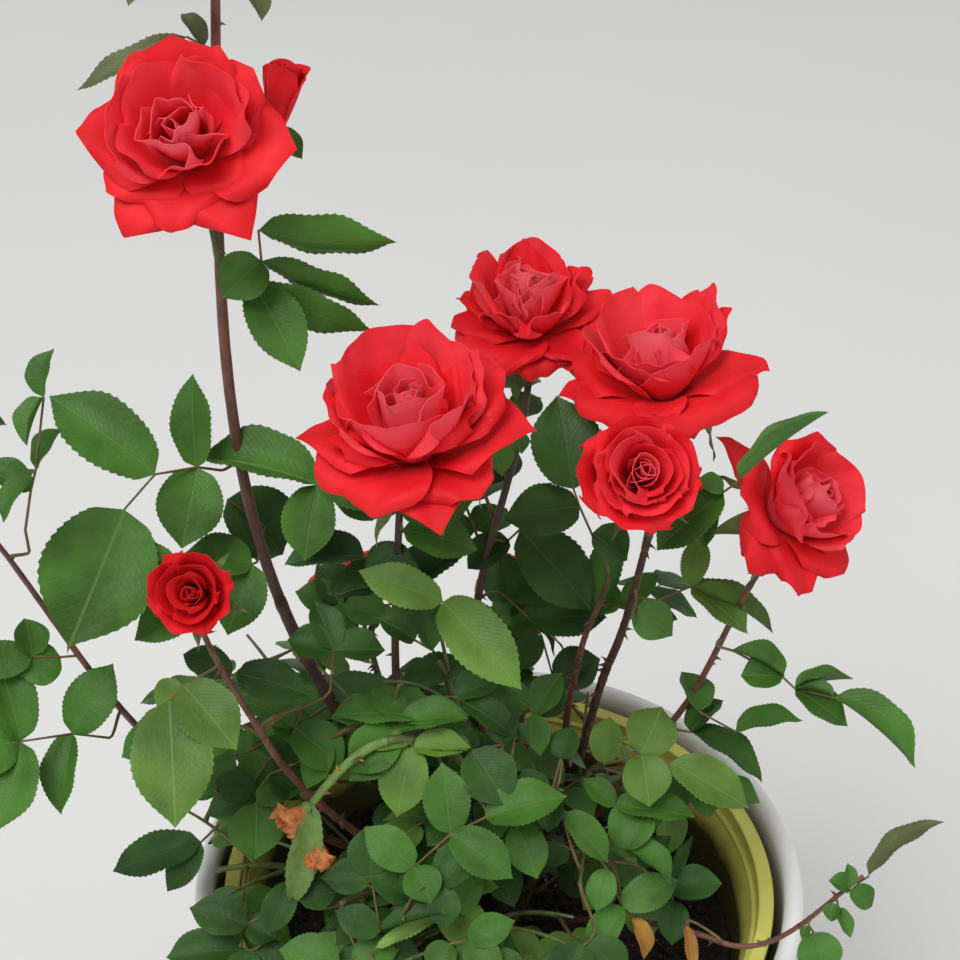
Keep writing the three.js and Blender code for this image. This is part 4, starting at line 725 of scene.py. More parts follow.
LEAST_ROLL = 0.12

# Seeded petals: share of a flower's petals by ring, the fewest of a cup, the height as a share of the
# width from which they grow longer, how much their measures and headings change, the heading of the
# first, and how much more the outer ones roll back.
RING_PETALS = {"heart": 0.2, "cup": 0.2, "guard": 0.3}
FEWEST_CUPS = 2
USUAL_TALL = 0.56
PETAL_CHANGE, PETAL_SWING, FIRST_PETAL = (-0.1, 0.1), (-14, 14), 40
GUARD_ROLL, GUARD_ROLL_MORE, MOST_ROLL = 1.3, 0.04, 0.78

# The petals of a closed bud and of a dried bloom: each measure in the order above at the heart, and
# what it gains to the outside. The bud's petals start between two shares of its width from the axis.
BUD_FOOT = (0.05, 0.21)
BUD_PETALS = ((3, 12), (-4, 7), (1.7, 0.1), (0.42, 0.16), (0, 0.15), (0, 30), (0.1, 0))
DRY_PETALS = ((4, 26), (-20, 40), (1.0, 0.2), (0.25, 0.2), (0.3, 0), (0, 50), (0.2, 0))
DRY_COUNT, DRY_RUFFLE, DRY_SEED = 12, 6, 60

# Flowers whose petals wrap further round, whose outer ones are smaller, or that are more ruffled.
WRAPPED = {"rose_small_right": 0.92, "rose_bud_left": 0.95}
SPREAD = {
    "rose_top_left": 0.88, "rose_front_middle": 0.88, "rose_right_middle": 0.9, "rose_back_middle": 0.92,
}
RUFFLED = {"rose_back_middle": 2.2, "rose_back": 1.5}

# How much slimmer a limb looks than its solid.
SLIM = {
    "tall": 0.92, "left": 0.62, "front_left": 0.62, "front": 0.72, "middle": 0.72, "dark": 0.74,
    "red": 0.64, "right": 0.6, "runner": 0.62, "back_left": 0.75, "back": 0.75,
}

# Camera, taken from the perspective of the pot's rim.
CAMERA_PLACE = (-9.3, -681.5, 1014.1)
CAMERA_PITCH = 53.5
CAMERA_LENS = 75
SENSOR = 36
PICTURE = 960

# Stage: half the floor's side, the point that the lamps face, and each lamp's side and place.
FLOOR_REACH = 9000
LAMP_AIM = (0, 0, 400)
WINDOW_LAMP = (2200, (-1350, -1500, 3800))
FILL_LAMP = (1500, (2300, -1000, 2100))

# The congruence of the seeded numbers, and the factors that hash a noise cell.
SEEDED_FACTOR = 1664525
SEEDED_ADDEND = 1013904223
SEEDED_RANGE = 4294967296
CELL_FACTORS = (73856093, 19349663, 83492791)
SEED_FACTOR = 2654435
MIXING_FACTORS = (1274126177, 2246822519)
WORD = 0xFFFFFFFF


# Numbers and directions

class Seeded:
    """Seeded numbers from a linear congruence, the same as the source's."""

    def __init__(self, seed):
        self.state = int(seed) % SEEDED_RANGE
        self.next()

    def next(self):
        self.state = (self.state * SEEDED_FACTOR + SEEDED_ADDEND) % SEEDED_RANGE
        return self.state / SEEDED_RANGE

    def between(self, low, high):
        return low + (high - low) * self.next()


def name_seed(name):
    """A seed that belongs to a name."""
    return sum(map(ord, name))


def unit(vectors):
    """Vectors divided by their lengths."""
    return vectors / np.maximum(np.linalg.norm(vectors, axis=-1, keepdims=True), 1e-12)


def heading(azimuth, elevation):
    """The unit vector at an azimuth and an elevation in degrees."""
    a, e = np.radians(azimuth), np.radians(elevation)
    return np.stack([np.cos(e) * np.cos(a), np.cos(e) * np.sin(a), np.sin(e) + 0 * a], axis=-1)


def limb_curve(start, start_way, end, end_way):
    """The four control points of a limb's cubic curve, with handles a third of the chord long."""
    start, end = np.asarray(start, float), np.asarray(end, float)
    reach = np.linalg.norm(end - start) / 3
    return np.array([start, start + reach * np.asarray(start_way), end - reach * np.asarray(end_way), end])


def curve_points(curve, places):
    """Points on a cubic curve: each control point weighted by its Bernstein polynomial."""
    t = np.asarray(places, float)[:, None]
    first_half = (1 - t) ** 3 * curve[0] + 3 * t * (1 - t) ** 2 * curve[1]
    return first_half + 3 * t**2 * (1 - t) * curve[2] + t**3 * curve[3]


def chord_lengths(points):
    """The lengths of the straight steps from point to point."""
    return np.linalg.norm(np.diff(points, axis=0), axis=1)


def curve_way(curve, t):
    """The unit tangent of a cubic curve at a place from 0 to 1."""
    steps = np.diff(curve, axis=0)
    return unit((1 - t) ** 2 * steps[0] + 2 * t * (1 - t) * steps[1] + t**2 * steps[2])


def noise(points, size, seed):
    """Smooth noise from -1 to 1: hashed values on a lattice of the given cell size, blended by a
    smoothstep in each direction."""
    scaled = np.asarray(points, float) / size
    cell = np.floor(scaled).astype(np.int64)
    share = scaled - cell
    share = share * share * (3 - 2 * share)
    total = np.zeros(scaled.shape[:-1])
    for corner in range(8):
        step = np.array([corner & 1, (corner >> 1) & 1, corner >> 2])
        key = cell + step
        hashed = seed * SEED_FACTOR
        for axis, factor in enumerate(CELL_FACTORS):
            hashed = hashed ^ key[..., axis] * factor
        hashed = (hashed & WORD) * MIXING_FACTORS[0] & WORD
        hashed = (hashed ^ (hashed >> 15)) * MIXING_FACTORS[1] & WORD
        weight = np.prod(np.where(step == 1, share, 1 - share), axis=-1)
        total += weight * (hashed / (SEEDED_RANGE / 2) - 1)
    return total


def layered(points, grains):
    """Noises added up, each given by its height, its cell size and its seed."""
    return sum(height * noise(points, size, seed) for height, size, seed in grains)


# Meshes

class Joined:
    """Vertices, faces and UVs of many small surfaces, joined into one mesh."""

    def __init__(self):
        self.verts, self.uvs, self.faces = [], [], []
        self.count = 0

    def add(self, surface, material=0):
        verts, faces, uvs = surface
        self.verts.append(verts.reshape(-1, 3))
        self.uvs.append(uvs.reshape(-1, 2))
        for block in faces:
            self.faces.append((block + self.count, material))
        self.count += len(self.verts[-1])

    def mesh(self, name, sharp=None):
        verts = np.concatenate(self.verts) * MM
        uvs = np.concatenate(self.uvs)
        loops = np.concatenate([block.ravel() for block, _ in self.faces]).astype(np.int32)
        totals = np.concatenate([np.full(len(block), block.shape[1]) for block, _ in self.faces])
        kinds = np.concatenate([np.full(len(block), kind) for block, kind in self.faces])
        made = bpy.data.meshes.new(name)
        made.vertices.add(len(verts))
        made.vertices.foreach_set("co", verts.astype(np.float32).ravel())
        made.loops.add(len(loops))
        made.loops.foreach_set("vertex_index", loops)
        made.polygons.add(len(totals))
        made.polygons.foreach_set("loop_start", (np.cumsum(totals) - totals).astype(np.int32))
        made.polygons.foreach_set("material_index", kinds.astype(np.int32))
        made.update(calc_edges=True)
        made.uv_layers.new(name="UVMap").data.foreach_set("uv", uvs[loops].astype(np.float32).ravel())
        made.shade_smooth()
        if sharp:
            made.set_sharp_from_angle(angle=math.radians(sharp))
        return made


def grid_faces(rows, columns, wrapped):
    """Quads of a grid of vertices, row by row; wrapped joins the last column to the first."""
    index = np.arange(rows * columns).reshape(rows, columns)
    along = np.roll(index, -1, axis=1) if wrapped else index[:, 1:]
    here = index if wrapped else index[:, :-1]
    return np.stack([here[:-1], along[:-1], along[1:], here[1:]], axis=-1).reshape(-1, 4)


def fan(centre, ring, turned):
    """Triangles from one vertex to a closed ring of them."""
    after = np.roll(ring, -1)
    pair = (after, ring) if turned else (ring, after)
    return np.stack([np.full(len(ring), centre), *pair], axis=-1)


def capped(verts, ends, uvs, end_uvs):
    """Rings of vertices joined along a grid and closed by a fan to a point at either end."""
    rows, sides = verts.shape[:2]
    ring = np.arange(sides)
    faces = [
        grid_faces(rows, sides, True),
        fan(rows * sides, ring, True),
        fan(rows * sides + 1, ring + (rows - 1) * sides, False),
    ]
    joined = np.concatenate([verts.reshape(-1, 3), ends])
    return joined, faces, np.concatenate([uvs.reshape(-1, 2), end_uvs])


def tube(path, radii, sides, relief=0.0, grain=2.0, seed=1):
    """A closed tube: at each point of the path a circle of its radius square to the path, moved along
    its spokes by noise times the relief, with a point at either end."""
    path = np.asarray(path, float)
    ways = unit(np.gradient(path, axis=0))
    helper = np.eye(3)[np.argmin(np.abs(ways).max(axis=0))]
    across = unit(np.cross(ways, helper))
    third = np.cross(ways, across)
    turn = np.linspace(0, 2 * np.pi, sides, endpoint=False)
    spokes = across[:, None] * np.cos(turn)[:, None] + third[:, None] * np.sin(turn)[:, None]
    radii = np.broadcast_to(np.asarray(radii, float), len(path))
    verts = path[:, None] + spokes * radii[:, None, None]
    if relief:
        verts = verts + spokes * (relief * noise(verts, grain, seed))[..., None]
    along = np.concatenate([[0], np.cumsum(chord_lengths(path))]) / TUBE_UV_LENGTH
    uvs = np.stack(np.broadcast_arrays(turn[None] / (2 * np.pi), along[:, None]), axis=-1)
    return capped(verts, [path[0], path[-1]], uvs, [[0.5, 0.0], [0.5, along[-1]]])


def lathe(profile, sides):
    """A profile of radius and height turned round the Z axis; it starts and ends on the axis."""
    profile = np.asarray(profile, float)
    turn = np.linspace(0, 2 * np.pi, sides, endpoint=False)
    radius, height = profile[1:-1, 0, None], profile[1:-1, 1, None]
    spots = (radius * np.cos(turn), radius * np.sin(turn), height)
    verts = np.stack(np.broadcast_arrays(*spots), axis=-1)
    ends = [[0, 0, profile[0, 1]], [0, 0, profile[-1, 1]]]
    along = np.cumsum(chord_lengths(profile))[:-1] / LATHE_UV_LENGTH
    uvs = np.stack(np.broadcast_arrays(turn[None] / (2 * np.pi), along[:, None]), axis=-1)
    return capped(verts, ends, uvs, np.zeros((2, 2)))


def arc(centre, radius, start, end, count):
    """Points of a profile on a circle, from one angle to another in degrees."""
    turn = np.radians(np.linspace(start, end, count))
    return [(centre[0] + radius * math.cos(a), centre[1] + radius * math.sin(a)) for a in turn]


def in_frame(surface, foot, axes):
    """A surface moved from its own axes into a place: its x, y and z run along the three given ones."""
    verts, faces, uvs = surface
    return verts @ np.array(axes) + np.asarray(foot), faces, uvs


def leaf_template(rows):
    """A leaf's flat net: a point at the base and the tip, five vertices across each row, and two teeth
    with a notch between them on either edge from row to row. Gives the share along, the share across,
    the depth of each vertex's tooth, and the faces."""
    even = np.arange(rows + 1) / rows
    stations = 0.55 * even + 0.45 * (0.5 - 0.5 * np.cos(np.pi * even))
    inner = stations[1:-1]
    gap = np.diff(inner)
    along = [[0], np.repeat(inner, 5)]
    across = [[0], np.tile([-1, -0.5, 0, 0.5, 1], rows - 1)]
    depth = [[0], np.tile([-0.4, 0, 0, 0, -0.4], rows - 1)]
    for share, tooth in ((0.36, 1.0), (0.5, -0.4), (0.86, 1.0)):
        along.append(np.repeat(inner[:-1] + gap * share, 2))
        across.append(np.tile([-1, 1], rows - 2))
        depth.append(np.full(2 * (rows - 2), tooth))
    parts = ((along, 1), (across, 0), (depth, 0))
    along, across, depth = (np.concatenate([*part, [last]]) for part, last in parts)
    row = 1 + 5 * np.arange(rows - 2)
    first = 1 + 5 * (rows - 1) + 2 * np.arange(rows - 2)
    notch, second = first + 2 * (rows - 2), first + 4 * (rows - 2)
    quads = [np.stack([row + c, row + c + 1, row + c + 6, row + c + 5], axis=-1) for c in (1, 2)]
    left = np.stack([row, row + 1, row + 6, row + 5, second, notch, first], axis=-1)
    right = np.stack([row + 3, row + 4, first + 1, notch + 1, second + 1, row + 9, row + 8], axis=-1)
    last = 1 + 5 * (rows - 2)
    tip = len(along) - 1
    ends = [(0, 1 + c + 1, 1 + c) for c in range(4)] + [(last + c, last + c + 1, tip) for c in range(4)]
    return along, across, depth, [np.concatenate(quads), np.concatenate([left, right]), np.array(ends)]


def blades(bases, ways, normals, lengths, look, seed, rows=10):
    """Leaf blades. Along the blade the half width is the width times a rounded, pointed sine; the blade
    bends down along a circle, folds up from its midrib, swells between midrib and edge, and waves at
    the edge."""
    s, t, tooth, faces = leaf_template(rows)
    random = np.random.default_rng(seed)
    count = len(lengths)
    length = np.asarray(lengths, float)[:, None]
    bend = random.uniform(*look["bend"], (count, 1))
    fold = look["fold"] * random.uniform(*FOLD_SPREAD, (count, 1))
    phase = random.uniform(0, 2 * np.pi, (count, 1))
    width = look["width"] * random.uniform(*WIDTH_SPREAD, (count, 1))
    rounded = np.sin(np.pi * s ** look["widest"]) ** (look["base"] + look["point"] * s * s)
    half = 0.5 * width * length * rounded
    side = half * t + look["teeth"] * length * tooth * np.sign(t) * rounded**0.5
    lift = fold * np.abs(t) * half + BLADE_SWELL * half * (1 - (2 * np.abs(t) - 1) ** 2)
    lift = lift + look["wave"] * length * t * t * np.sin(2 * np.pi * BLADE_WAVES * s + phase)
    turn = bend * s
    forward = length * np.sin(turn) / bend + lift * np.sin(turn)
    up = lift * np.cos(turn) - length * (1 - np.cos(turn)) / bend
    sides = np.cross(ways, normals)
    verts = bases[:, None] + ways[:, None] * forward[..., None] + sides[:, None] * side[..., None]
    verts = verts + normals[:, None] * up[..., None]
    share = side / np.maximum(half.max(axis=1, keepdims=True), 1e-9)
    uvs = np.stack(np.broadcast_arrays(0.5 + 0.5 * share, s[None]), axis=-1)
    offsets = np.arange(count)[:, None, None] * len(s)
    blocks = [(block[None] + offsets).reshape(-1, block.shape[1]) for block in faces]
    return verts.reshape(-1, 3), blocks, uvs.reshape(-1, 2)


def sampled(lines, places):
    """Each line's values, given at even places from 0 to 1, read at other places by straight steps."""
    last = lines.shape[1] - 1
    spot = np.clip(places * last, 0, last - 1e-6)
    low = spot.astype(int)
    flat = low.reshape(len(low), -1)
    first = np.take_along_axis(lines, flat, 1).reshape(low.shape)
    second = np.take_along_axis(lines, flat + 1, 1).reshape(low.shape)
    return first + (spot - low) * (second - first)


def petals(table, rows=12, columns=17):
    """Petals round a flower's axis, as thin closed shells. The centre line leaves the axis at an angle
    that grows from base to tip, and curls back near the tip. Across, a petal first follows an arc round
    the axis, then from a part of its half width on it rolls back on a tight arc. The width opens from a
    narrow claw, the end is pointed, and ruffles grow towards the edge."""
    v = np.linspace(0, 1, rows)[None, :, None]
    u = np.linspace(-1, 1, columns)[None, None, :]
    get = {key: np.asarray(value, float)[:, None, None] for key, value in table.items()}
    line = {key: value[:, :, 0] for key, value in get.items()}
    fine = np.linspace(0, 1, PETAL_STEPS + 1)[None]
    angle = line["start"] + (line["end"] - line["start"]) * fine ** line["late"]
    angle = angle + line["curl"] * np.clip((fine - CURL_START) / (1 - CURL_START), 0, 1) ** CURL_GROWTH
    step = line["length"] / PETAL_STEPS
    along = v * (1 - get["point"] * np.abs(u) ** get["sharp"])
    lean = sampled(angle, along)
    radius = get["foot"] + sampled(np.cumsum(np.sin(angle), axis=1) * step, along)
    height = get["rise"] + sampled(np.cumsum(np.cos(angle), axis=1) * step, along)
    opening = CLAW_WIDTH + (1 - CLAW_WIDTH) * np.sin(np.pi / 2 * np.minimum(along / PETAL_WIDEST, 1))
    narrowing = np.maximum(0, (along - PETAL_WIDEST) / (1 - PETAL_WIDEST)) ** 2
    half = get["half"] * opening * (1 - get["taper"] * narrowing)
    share = np.clip((along - ROLL_START) / ROLL_LENGTH, 0, 1)
    rolled = get["roll"] * (CLAW_ROLL + (1 - CLAW_ROLL) * share * share * (3 - 2 * share))
    reach = np.abs(u) * half
    flat = np.minimum(reach, half * (1 - rolled))
    bend = get["wrap"] / np.maximum(radius, get["cup"])
    turn = bend * flat
    back = turn - get["tight"] * (reach - flat)
    lateral = np.sin(turn) / bend + (np.sin(turn) - np.sin(back)) / get["tight"]
    inward = (1 - np.cos(turn)) / bend + (np.cos(back) - np.cos(turn)) / get["tight"]
    wave = np.sin(4.4 * u + get["phase"]) + 0.5 * np.sin(10.5 * u + 2.3 * get["phase"])
    ruffle = get["ruffle"] * along**2 * (1 - EDGE_RUFFLE + EDGE_RUFFLE * np.abs(u)) * wave
    inward = inward + ruffle + get["spiral"] * u * along
    out = radius - inward * np.cos(lean)
    side = lateral * np.sign(u)
    x = out * np.cos(get["azimuth"]) - side * np.sin(get["azimuth"])
    y = out * np.sin(get["azimuth"]) + side * np.cos(get["azimuth"])
    sheet = np.stack([x, y, height + inward * np.sin(lean)], axis=-1)
    normal = unit(np.cross(np.gradient(sheet, axis=2), np.gradient(sheet, axis=1)))
    offset = normal * PETAL_HALF_THICKNESS
    shell = np.stack([sheet + offset, sheet - offset], axis=1)
    net = grid_faces(rows, columns, False)
    index = np.arange(rows * columns).reshape(rows, columns)
    ring = np.concatenate([index[0, :-1], index[:-1, -1], index[-1, :0:-1], index[:0:-1, 0]])
    after = np.roll(ring, -1)
    inner = rows * columns
    rim = np.stack([ring + inner, after + inner, after, ring], axis=-1)
    faces = np.concatenate([net, net[:, ::-1] + inner, rim])
    blocks = [(faces[None] + np.arange(len(sheet))[:, None, None] * 2 * inner).reshape(-1, 4)]
    uvs = np.stack(np.broadcast_arrays((u + 1) / 2, v + 0 * x), axis=-1)
    return shell.reshape(-1, 3), blocks, np.stack([uvs, uvs + INNER_FACE_UV], axis=1).reshape(-1, 2)


# Materials

def new_material(name, roughness, **sockets):
    """A material and its principled shader, with constant values on the shader's own sockets."""
    made = bpy.data.materials.new(name)
    made.use_nodes = True
    shader = made.node_tree.nodes["Principled BSDF"]
    shader.inputs["Roughness"].default_value = roughness
    for socket, value in sockets.items():
        shader.inputs[socket.replace("_", " ")].default_value = value
    return made, made.node_tree, shader


def node(tree, kind, **values):
    """A node with its properties and input values set."""
    made = tree.nodes.new(kind)
    for key, value in values.items():
        if key in made.inputs:
            made.inputs[key].default_value = value
        else:
            setattr(made, key, value)
    return made


def noise_mask(tree, scale, detail, low, high, seed=0.0):
    """Noise on Object coordinates, stretched so that low becomes 0 and high becomes 1."""
    place = node(tree, "ShaderNodeTexCoord")
    shift = node(tree, "ShaderNodeMapping")
    shift.inputs["Location"].default_value = (seed, seed * 0.7, seed * 1.3)
    grain = node(tree, "ShaderNodeTexNoise", Scale=scale, Detail=detail)
    spread = node(tree, "ShaderNodeMapRange")
    spread.inputs["From Min"].default_value = low
    spread.inputs["From Max"].default_value = high
    tree.links.new(place.outputs["Object"], shift.inputs["Vector"])
    tree.links.new(shift.outputs["Vector"], grain.inputs["Vector"])
    tree.links.new(grain.outputs["Fac"], spread.inputs["Value"])
    return spread.outputs["Result"]


def mixed(tree, mask, first, second):
    """A colour between two, each a colour or another node's socket, by a mask."""
    blend = node(tree, "ShaderNodeMix", data_type="RGBA")
    tree.links.new(mask, blend.inputs[0])
    for slot, value in ((6, first), (7, second)):
        if hasattr(value, "links"):
            tree.links.new(value, blend.inputs[slot])
        else:
            blend.inputs[slot].default_value = (*value[:3], 1)
    return blend.outputs[2]


def bump(tree, shader, height, strength, distance):
    """A bump on the shader from a height in shares of the distance, in millimetres."""
    made = node(tree, "ShaderNodeBump", Strength=strength, Distance=distance * MM)
    tree.links.new(height, made.inputs["Height"])
    tree.links.new(made.outputs["Normal"], shader.inputs["Normal"])


def arithmetic(tree, operation, first, second=0.0):
    """A math node on sockets or numbers."""
    made = node(tree, "ShaderNodeMath", operation=operation)
    for slot, value in enumerate((first, second)):
        if hasattr(value, "links"):
            tree.links.new(value, made.inputs[slot])
        else:
            made.inputs[slot].default_value = value
    return made.outputs[0]


def times(tree, first, second):
    """Two sockets or numbers multiplied."""
    return arithmetic(tree, "MULTIPLY", first, second)


def coordinates(tree, kind):
    """The sockets of the three coordinates of a kind, UV or Object."""
    split = node(tree, "ShaderNodeSeparateXYZ")
    tree.links.new(node(tree, "ShaderNodeTexCoord").outputs[kind], split.inputs[0])
    return split.outputs


def band(tree, value, start, end):
    """1 where a value is at start, falling to 0 at end."""
    spread = node(tree, "ShaderNodeMapRange")
    spread.inputs["From Min"].default_value = start
    spread.inputs["From Max"].default_value = end
    spread.inputs["To Min"].default_value = 1
    spread.inputs["To Max"].default_value = 0
    tree.links.new(value, spread.inputs["Value"])
    return spread.outputs["Result"]


def shade(colour, factor):
    """A colour made darker or lighter."""
    return tuple(min(1.0, channel * factor) for channel in colour[:3])


def grained(name, colour, other, roughness, scale=60, detail=4, relief=0.3, **sockets):
    """Two colours mixed by noise, with a fine bump: bark, soil, plastic and dry petals."""
    made, tree, shader = new_material(name, roughness, **sockets)
    mask = noise_mask(tree, scale, detail, 0.35, 0.65)
    tree.links.new(mixed(tree, mask, colour, other), shader.inputs["Base Color"])
    bump(tree, shader, noise_mask(tree, scale * 4, 3, 0.2, 0.8, 3.0), 0.6, relief)
    return made


def leaf_material(name, colour, rough):
    """A leaf's green with a paler midrib and side veins from the UVs, a paler rim from the UVs as a
    painted highlight along the toothed edge, a slow drift of tone, and a quilted bump between the veins."""
    made, tree, shader = new_material(name, rough, Specular_IOR_Level=0.28)
    across, along, _ = coordinates(tree, "UV")
    off = arithmetic(tree, "ABSOLUTE", arithmetic(tree, "SUBTRACT", across, 0.5))
    slant = arithmetic(tree, "SUBTRACT", along, times(tree, off, VEIN_SLANT))
    wave = arithmetic(tree, "SINE", times(tree, slant, 2 * math.pi * SIDE_VEINS))
    veins = band(tree, arithmetic(tree, "ABSOLUTE", wave), 0.02, 0.24)
    midrib = band(tree, off, 0.004, 0.02)
    # Painted highlight: the paler rim stands in for light caught along the toothed edge.
    rim = band(tree, off, 0.5, 0.475)
    look = mixed(tree, noise_mask(tree, 34, 3, 0.35, 0.65), shade(colour, 0.66), shade(colour, 1.3))
    pale = (colour[0] * 1.9 + 0.03, colour[1] * 1.45 + 0.03, colour[2] * 1.5 + 0.02)
    # The pale goes into the veins and midrib as their own colour, and into the rim as a painted highlight.
    for mask, strength in ((veins, 0.22), (rim, 0.35), (midrib, 0.5)):
        look = mixed(tree, times(tree, mask, strength), look, pale)
    tree.links.new(look, shader.inputs["Base Color"])
    hollow = arithmetic(tree, "ADD", times(tree, veins, -0.5), times(tree, midrib, -1))
    height = arithmetic(tree, "ADD", hollow, noise_mask(tree, 500, 2, 0.2, 0.8))
    bump(tree, shader, height, 0.5, 0.35)
    return made


def petal_material(name, colour, deep, pale, outside):
    """A petal's red: paler at the claw, deeper at the rim, its own tint on the outer face, with faint
    lengthwise veins and a fine grain in its bump."""
    made, tree, shader = new_material(
        name, 0.6, Specular_IOR_Level=0.2, Subsurface_Weight=0.12, Subsurface_Scale=0.004,
    )
    across, along, _ = coordinates(tree, "UV")
    look = mixed(tree, noise_mask(tree, 45, 2, 0.3, 0.7), colour, deep)
    outer = times(tree, band(tree, across, 1.4, 1.6), band(tree, along, 0.95, 0.5))
    claw, rim = band(tree, along, 0.05, 0.45), band(tree, along, 1.0, 0.93)
    for mask, strength, tint in ((outer, 0.55, outside), (claw, 0.8, pale), (rim, 0.35, deep)):
        look = mixed(tree, times(tree, mask, strength), look, tint)
    tree.links.new(look, shader.inputs["Base Color"])
    lines = arithmetic(tree, "SINE", times(tree, across, 2 * math.pi * PETAL_VEINS))
    height = arithmetic(tree, "ADD", times(tree, lines, 0.12), noise_mask(tree, 260, 2, 0.2, 0.8))
    bump(tree, shader, height, 0.2, 0.18)
    return made


def cane_material(name, foot, top, low, high):
    """A cane's bark: brown at the foot and its own colour above, by height, with a fine grain."""
    made, tree, shader = new_material(name, 0.5, Specular_IOR_Level=0.4)
    ripple = times(tree, noise_mask(tree, 90, 3, 0.3, 0.7), BARK_RIPPLE * MM)
    height = arithmetic(tree, "ADD", coordinates(tree, "Object")[2], ripple)
    lower = band(tree, height, low * MM, high * MM)
    upper = mixed(tree, noise_mask(tree, 140, 3, 0.35, 0.65, 2.0), shade(top, 0.7), shade(top, 1.25))
    tree.links.new(mixed(tree, lower, upper, foot), shader.inputs["Base Color"])
    bump(tree, shader, noise_mask(tree, 420, 3, 0.2, 0.8), 0.5, 0.3)
    return made


def glazed(name, colour, dust, roughness, relief, deep=None):
    """Moulded plastic with a sheen, faint dust and a barely uneven surface. A deep colour is painted
    shade on the wall from a little under the inner pot's rim down towards the soil."""
    made, tree, shader = new_material(name, roughness, Coat_Weight=0.25, Coat_Roughness=0.25)
    look = mixed(tree, noise_mask(tree, 14, 5, 0.45, 0.8), colour, dust)
    if deep is not None:
        # Painted shade: the inner pot's wall turns near black from a little under its rim down to the
        # soil, with a ragged edge from noise.
        ragged_shade_edge = times(tree, noise_mask(tree, 30, 4, 0.3, 0.7), PAINTED_SHADE_RAGGED_EDGE * MM)
        height = arithmetic(tree, "ADD", coordinates(tree, "Object")[2], ragged_shade_edge)
        low, high = ((INNER_RIM_HEIGHT - drop) * MM for drop in PAINTED_SHADE_DROPS)
        look = mixed(tree, band(tree, height, low, high), look, deep)
    tree.links.new(look, shader.inputs["Base Color"])
    bump(tree, shader, noise_mask(tree, 24, 3, 0.2, 0.8, 5.0), 0.25, relief)
    return made


def place_piece(name, mesh, materials, nodes=()):
    """Links a finished mesh as a piece that rides on the body and stands for CAD nodes."""
    for material in materials:
        mesh.materials.append(material)
    piece = bpy.data.objects.new(name, mesh)
    bpy.context.scene.collection.objects.link(piece)
    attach(piece, BODY)
    if nodes:
        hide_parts(*nodes)
    return piece


# The plant's rule

def foot_point(foot):
    """Where a limb starts, inside the woody base."""
    inside = BASE_RADIUS * FOOT_DEPTH
    turn = math.radians(foot[0])
    return np.array([inside * math.cos(turn), inside * math.sin(turn), foot[1]])


def rooted_curve(foot, rise, end, lean):
    """The curve of a limb from its foot in the woody base to its end."""
    return limb_curve(foot_point(foot), heading(foot[0], rise), end, heading(*lean))


def plan_leaf(base, leaf, random):
    """One compound leaf by the source's rule: the rachis bends by its droop and turn in equal steps,
    and leaflets sit in pairs below the terminal one."""
    azimuth, elevation, rachis, size, droop, turn, roll = leaf
    fewest, most = RACHIS_STEPS
    steps = max(fewest, min(most, math.ceil(rachis / RACHIS_STEP)))
    share = (np.arange(steps) + 0.5) / steps
    ways = heading(azimuth + turn * share, elevation - droop * share)
    lifts = heading(azimuth + turn * share, elevation - droop * share + 90)
    tilted = math.radians(roll)
    normals = lifts * math.cos(tilted) + np.cross(ways, lifts) * math.sin(tilted)
    sides = np.cross(ways, normals)
    places = np.concatenate([[base], base + np.cumsum(ways * rachis / steps, axis=0)])
    made = []

    def add_blade(place, spread, length):
        index = min(steps - 1, int(place * steps))
        angle = math.radians(spread + random.between(-LEAFLET_SWING, LEAFLET_SWING))
        tilt = random.between(*LEAFLET_TILT)
        level = ways[index] * math.cos(angle) + sides[index] * math.sin(angle)
        way = unit(level - normals[index] * tilt)
        normal = unit(normals[index] - way * (normals[index] @ way))
        start = places[index] + (places[index + 1] - places[index]) * (place * steps - index)
        made.append(Blade(start, way, normal, length))

    add_blade(1, 0, size)
    for pair, part in enumerate(PAIR_SIZE):
        for spread in (PAIR_SPREAD, -PAIR_SPREAD):
            add_blade(TOP_PAIR - pair * PAIR_SPACING, spread, size * part)
    return places, made


def blade_points(plan, width):
    """Points spread over each leaflet of a planned leaf."""
    starts, ways, normals, lengths, given, _, _ = map(np.array, zip(*plan[1]))
    length, given = lengths[:, None], given[:, None]
    sides = np.cross(ways, normals)
    narrowing = 1 - np.abs(BLADE_ROWS - LEAFLET_WIDEST) / BLADE_REACH
    half = length * np.where(given > 0, given, width) * narrowing / 2
    spots = starts[:, None] + ways[:, None] * (length * BLADE_ROWS)[..., None]
    spots = spots[:, :, None] + sides[:, None, None] * (half[..., None] * BLADE_COLUMNS)[..., None]
    return spots.reshape(-1, 3)


def placed_blade(base, tip, width, roll, random):
    """A leaflet from its base to its tip: its face looks at the viewer, turned round its length
    towards the sky by the roll. It starts half its bend over the straight line, so it ends at the tip."""
    chord = float(np.linalg.norm(tip - base))
    line = (tip - base) / chord
    viewer = np.array(CAMERA_PLACE) - base
    normal = unit(viewer - line * (line @ viewer))
    side = np.cross(line, normal)
    side = side if side[2] > 0 else -side
    normal = normal * math.cos(math.radians(roll)) + side * math.sin(math.radians(roll))
    bend = random.between(*LEAFLET_BEND)
    way = line * math.cos(bend / 2) + normal * math.sin(bend / 2)
    normal = normal * math.cos(bend / 2) - line * math.sin(bend / 2)
    length = max(chord * bend / 2 / math.sin(bend / 2), width / WIDEST_SHARE)
    return Blade(base, way, normal, length, width / length, LEAFLET_FOLD + roll / ROLL_FOLD, bend)


def in_picture(points):
    """Where points stand in the picture, across and down in its pixels, and how far along its axis."""
    away = points - np.array(CAMERA_PLACE)
    pitch = math.radians(CAMERA_PITCH)
    far = away @ np.array([0, math.sin(pitch), -math.cos(pitch)])
    up = away @ np.array([0, math.cos(pitch), math.sin(pitch)])
    scale = PICTURE * CAMERA_LENS / SENSOR / far
    return np.stack([PICTURE / 2 + away[..., 0] * scale, PICTURE / 2 - up * scale, far], axis=-1)


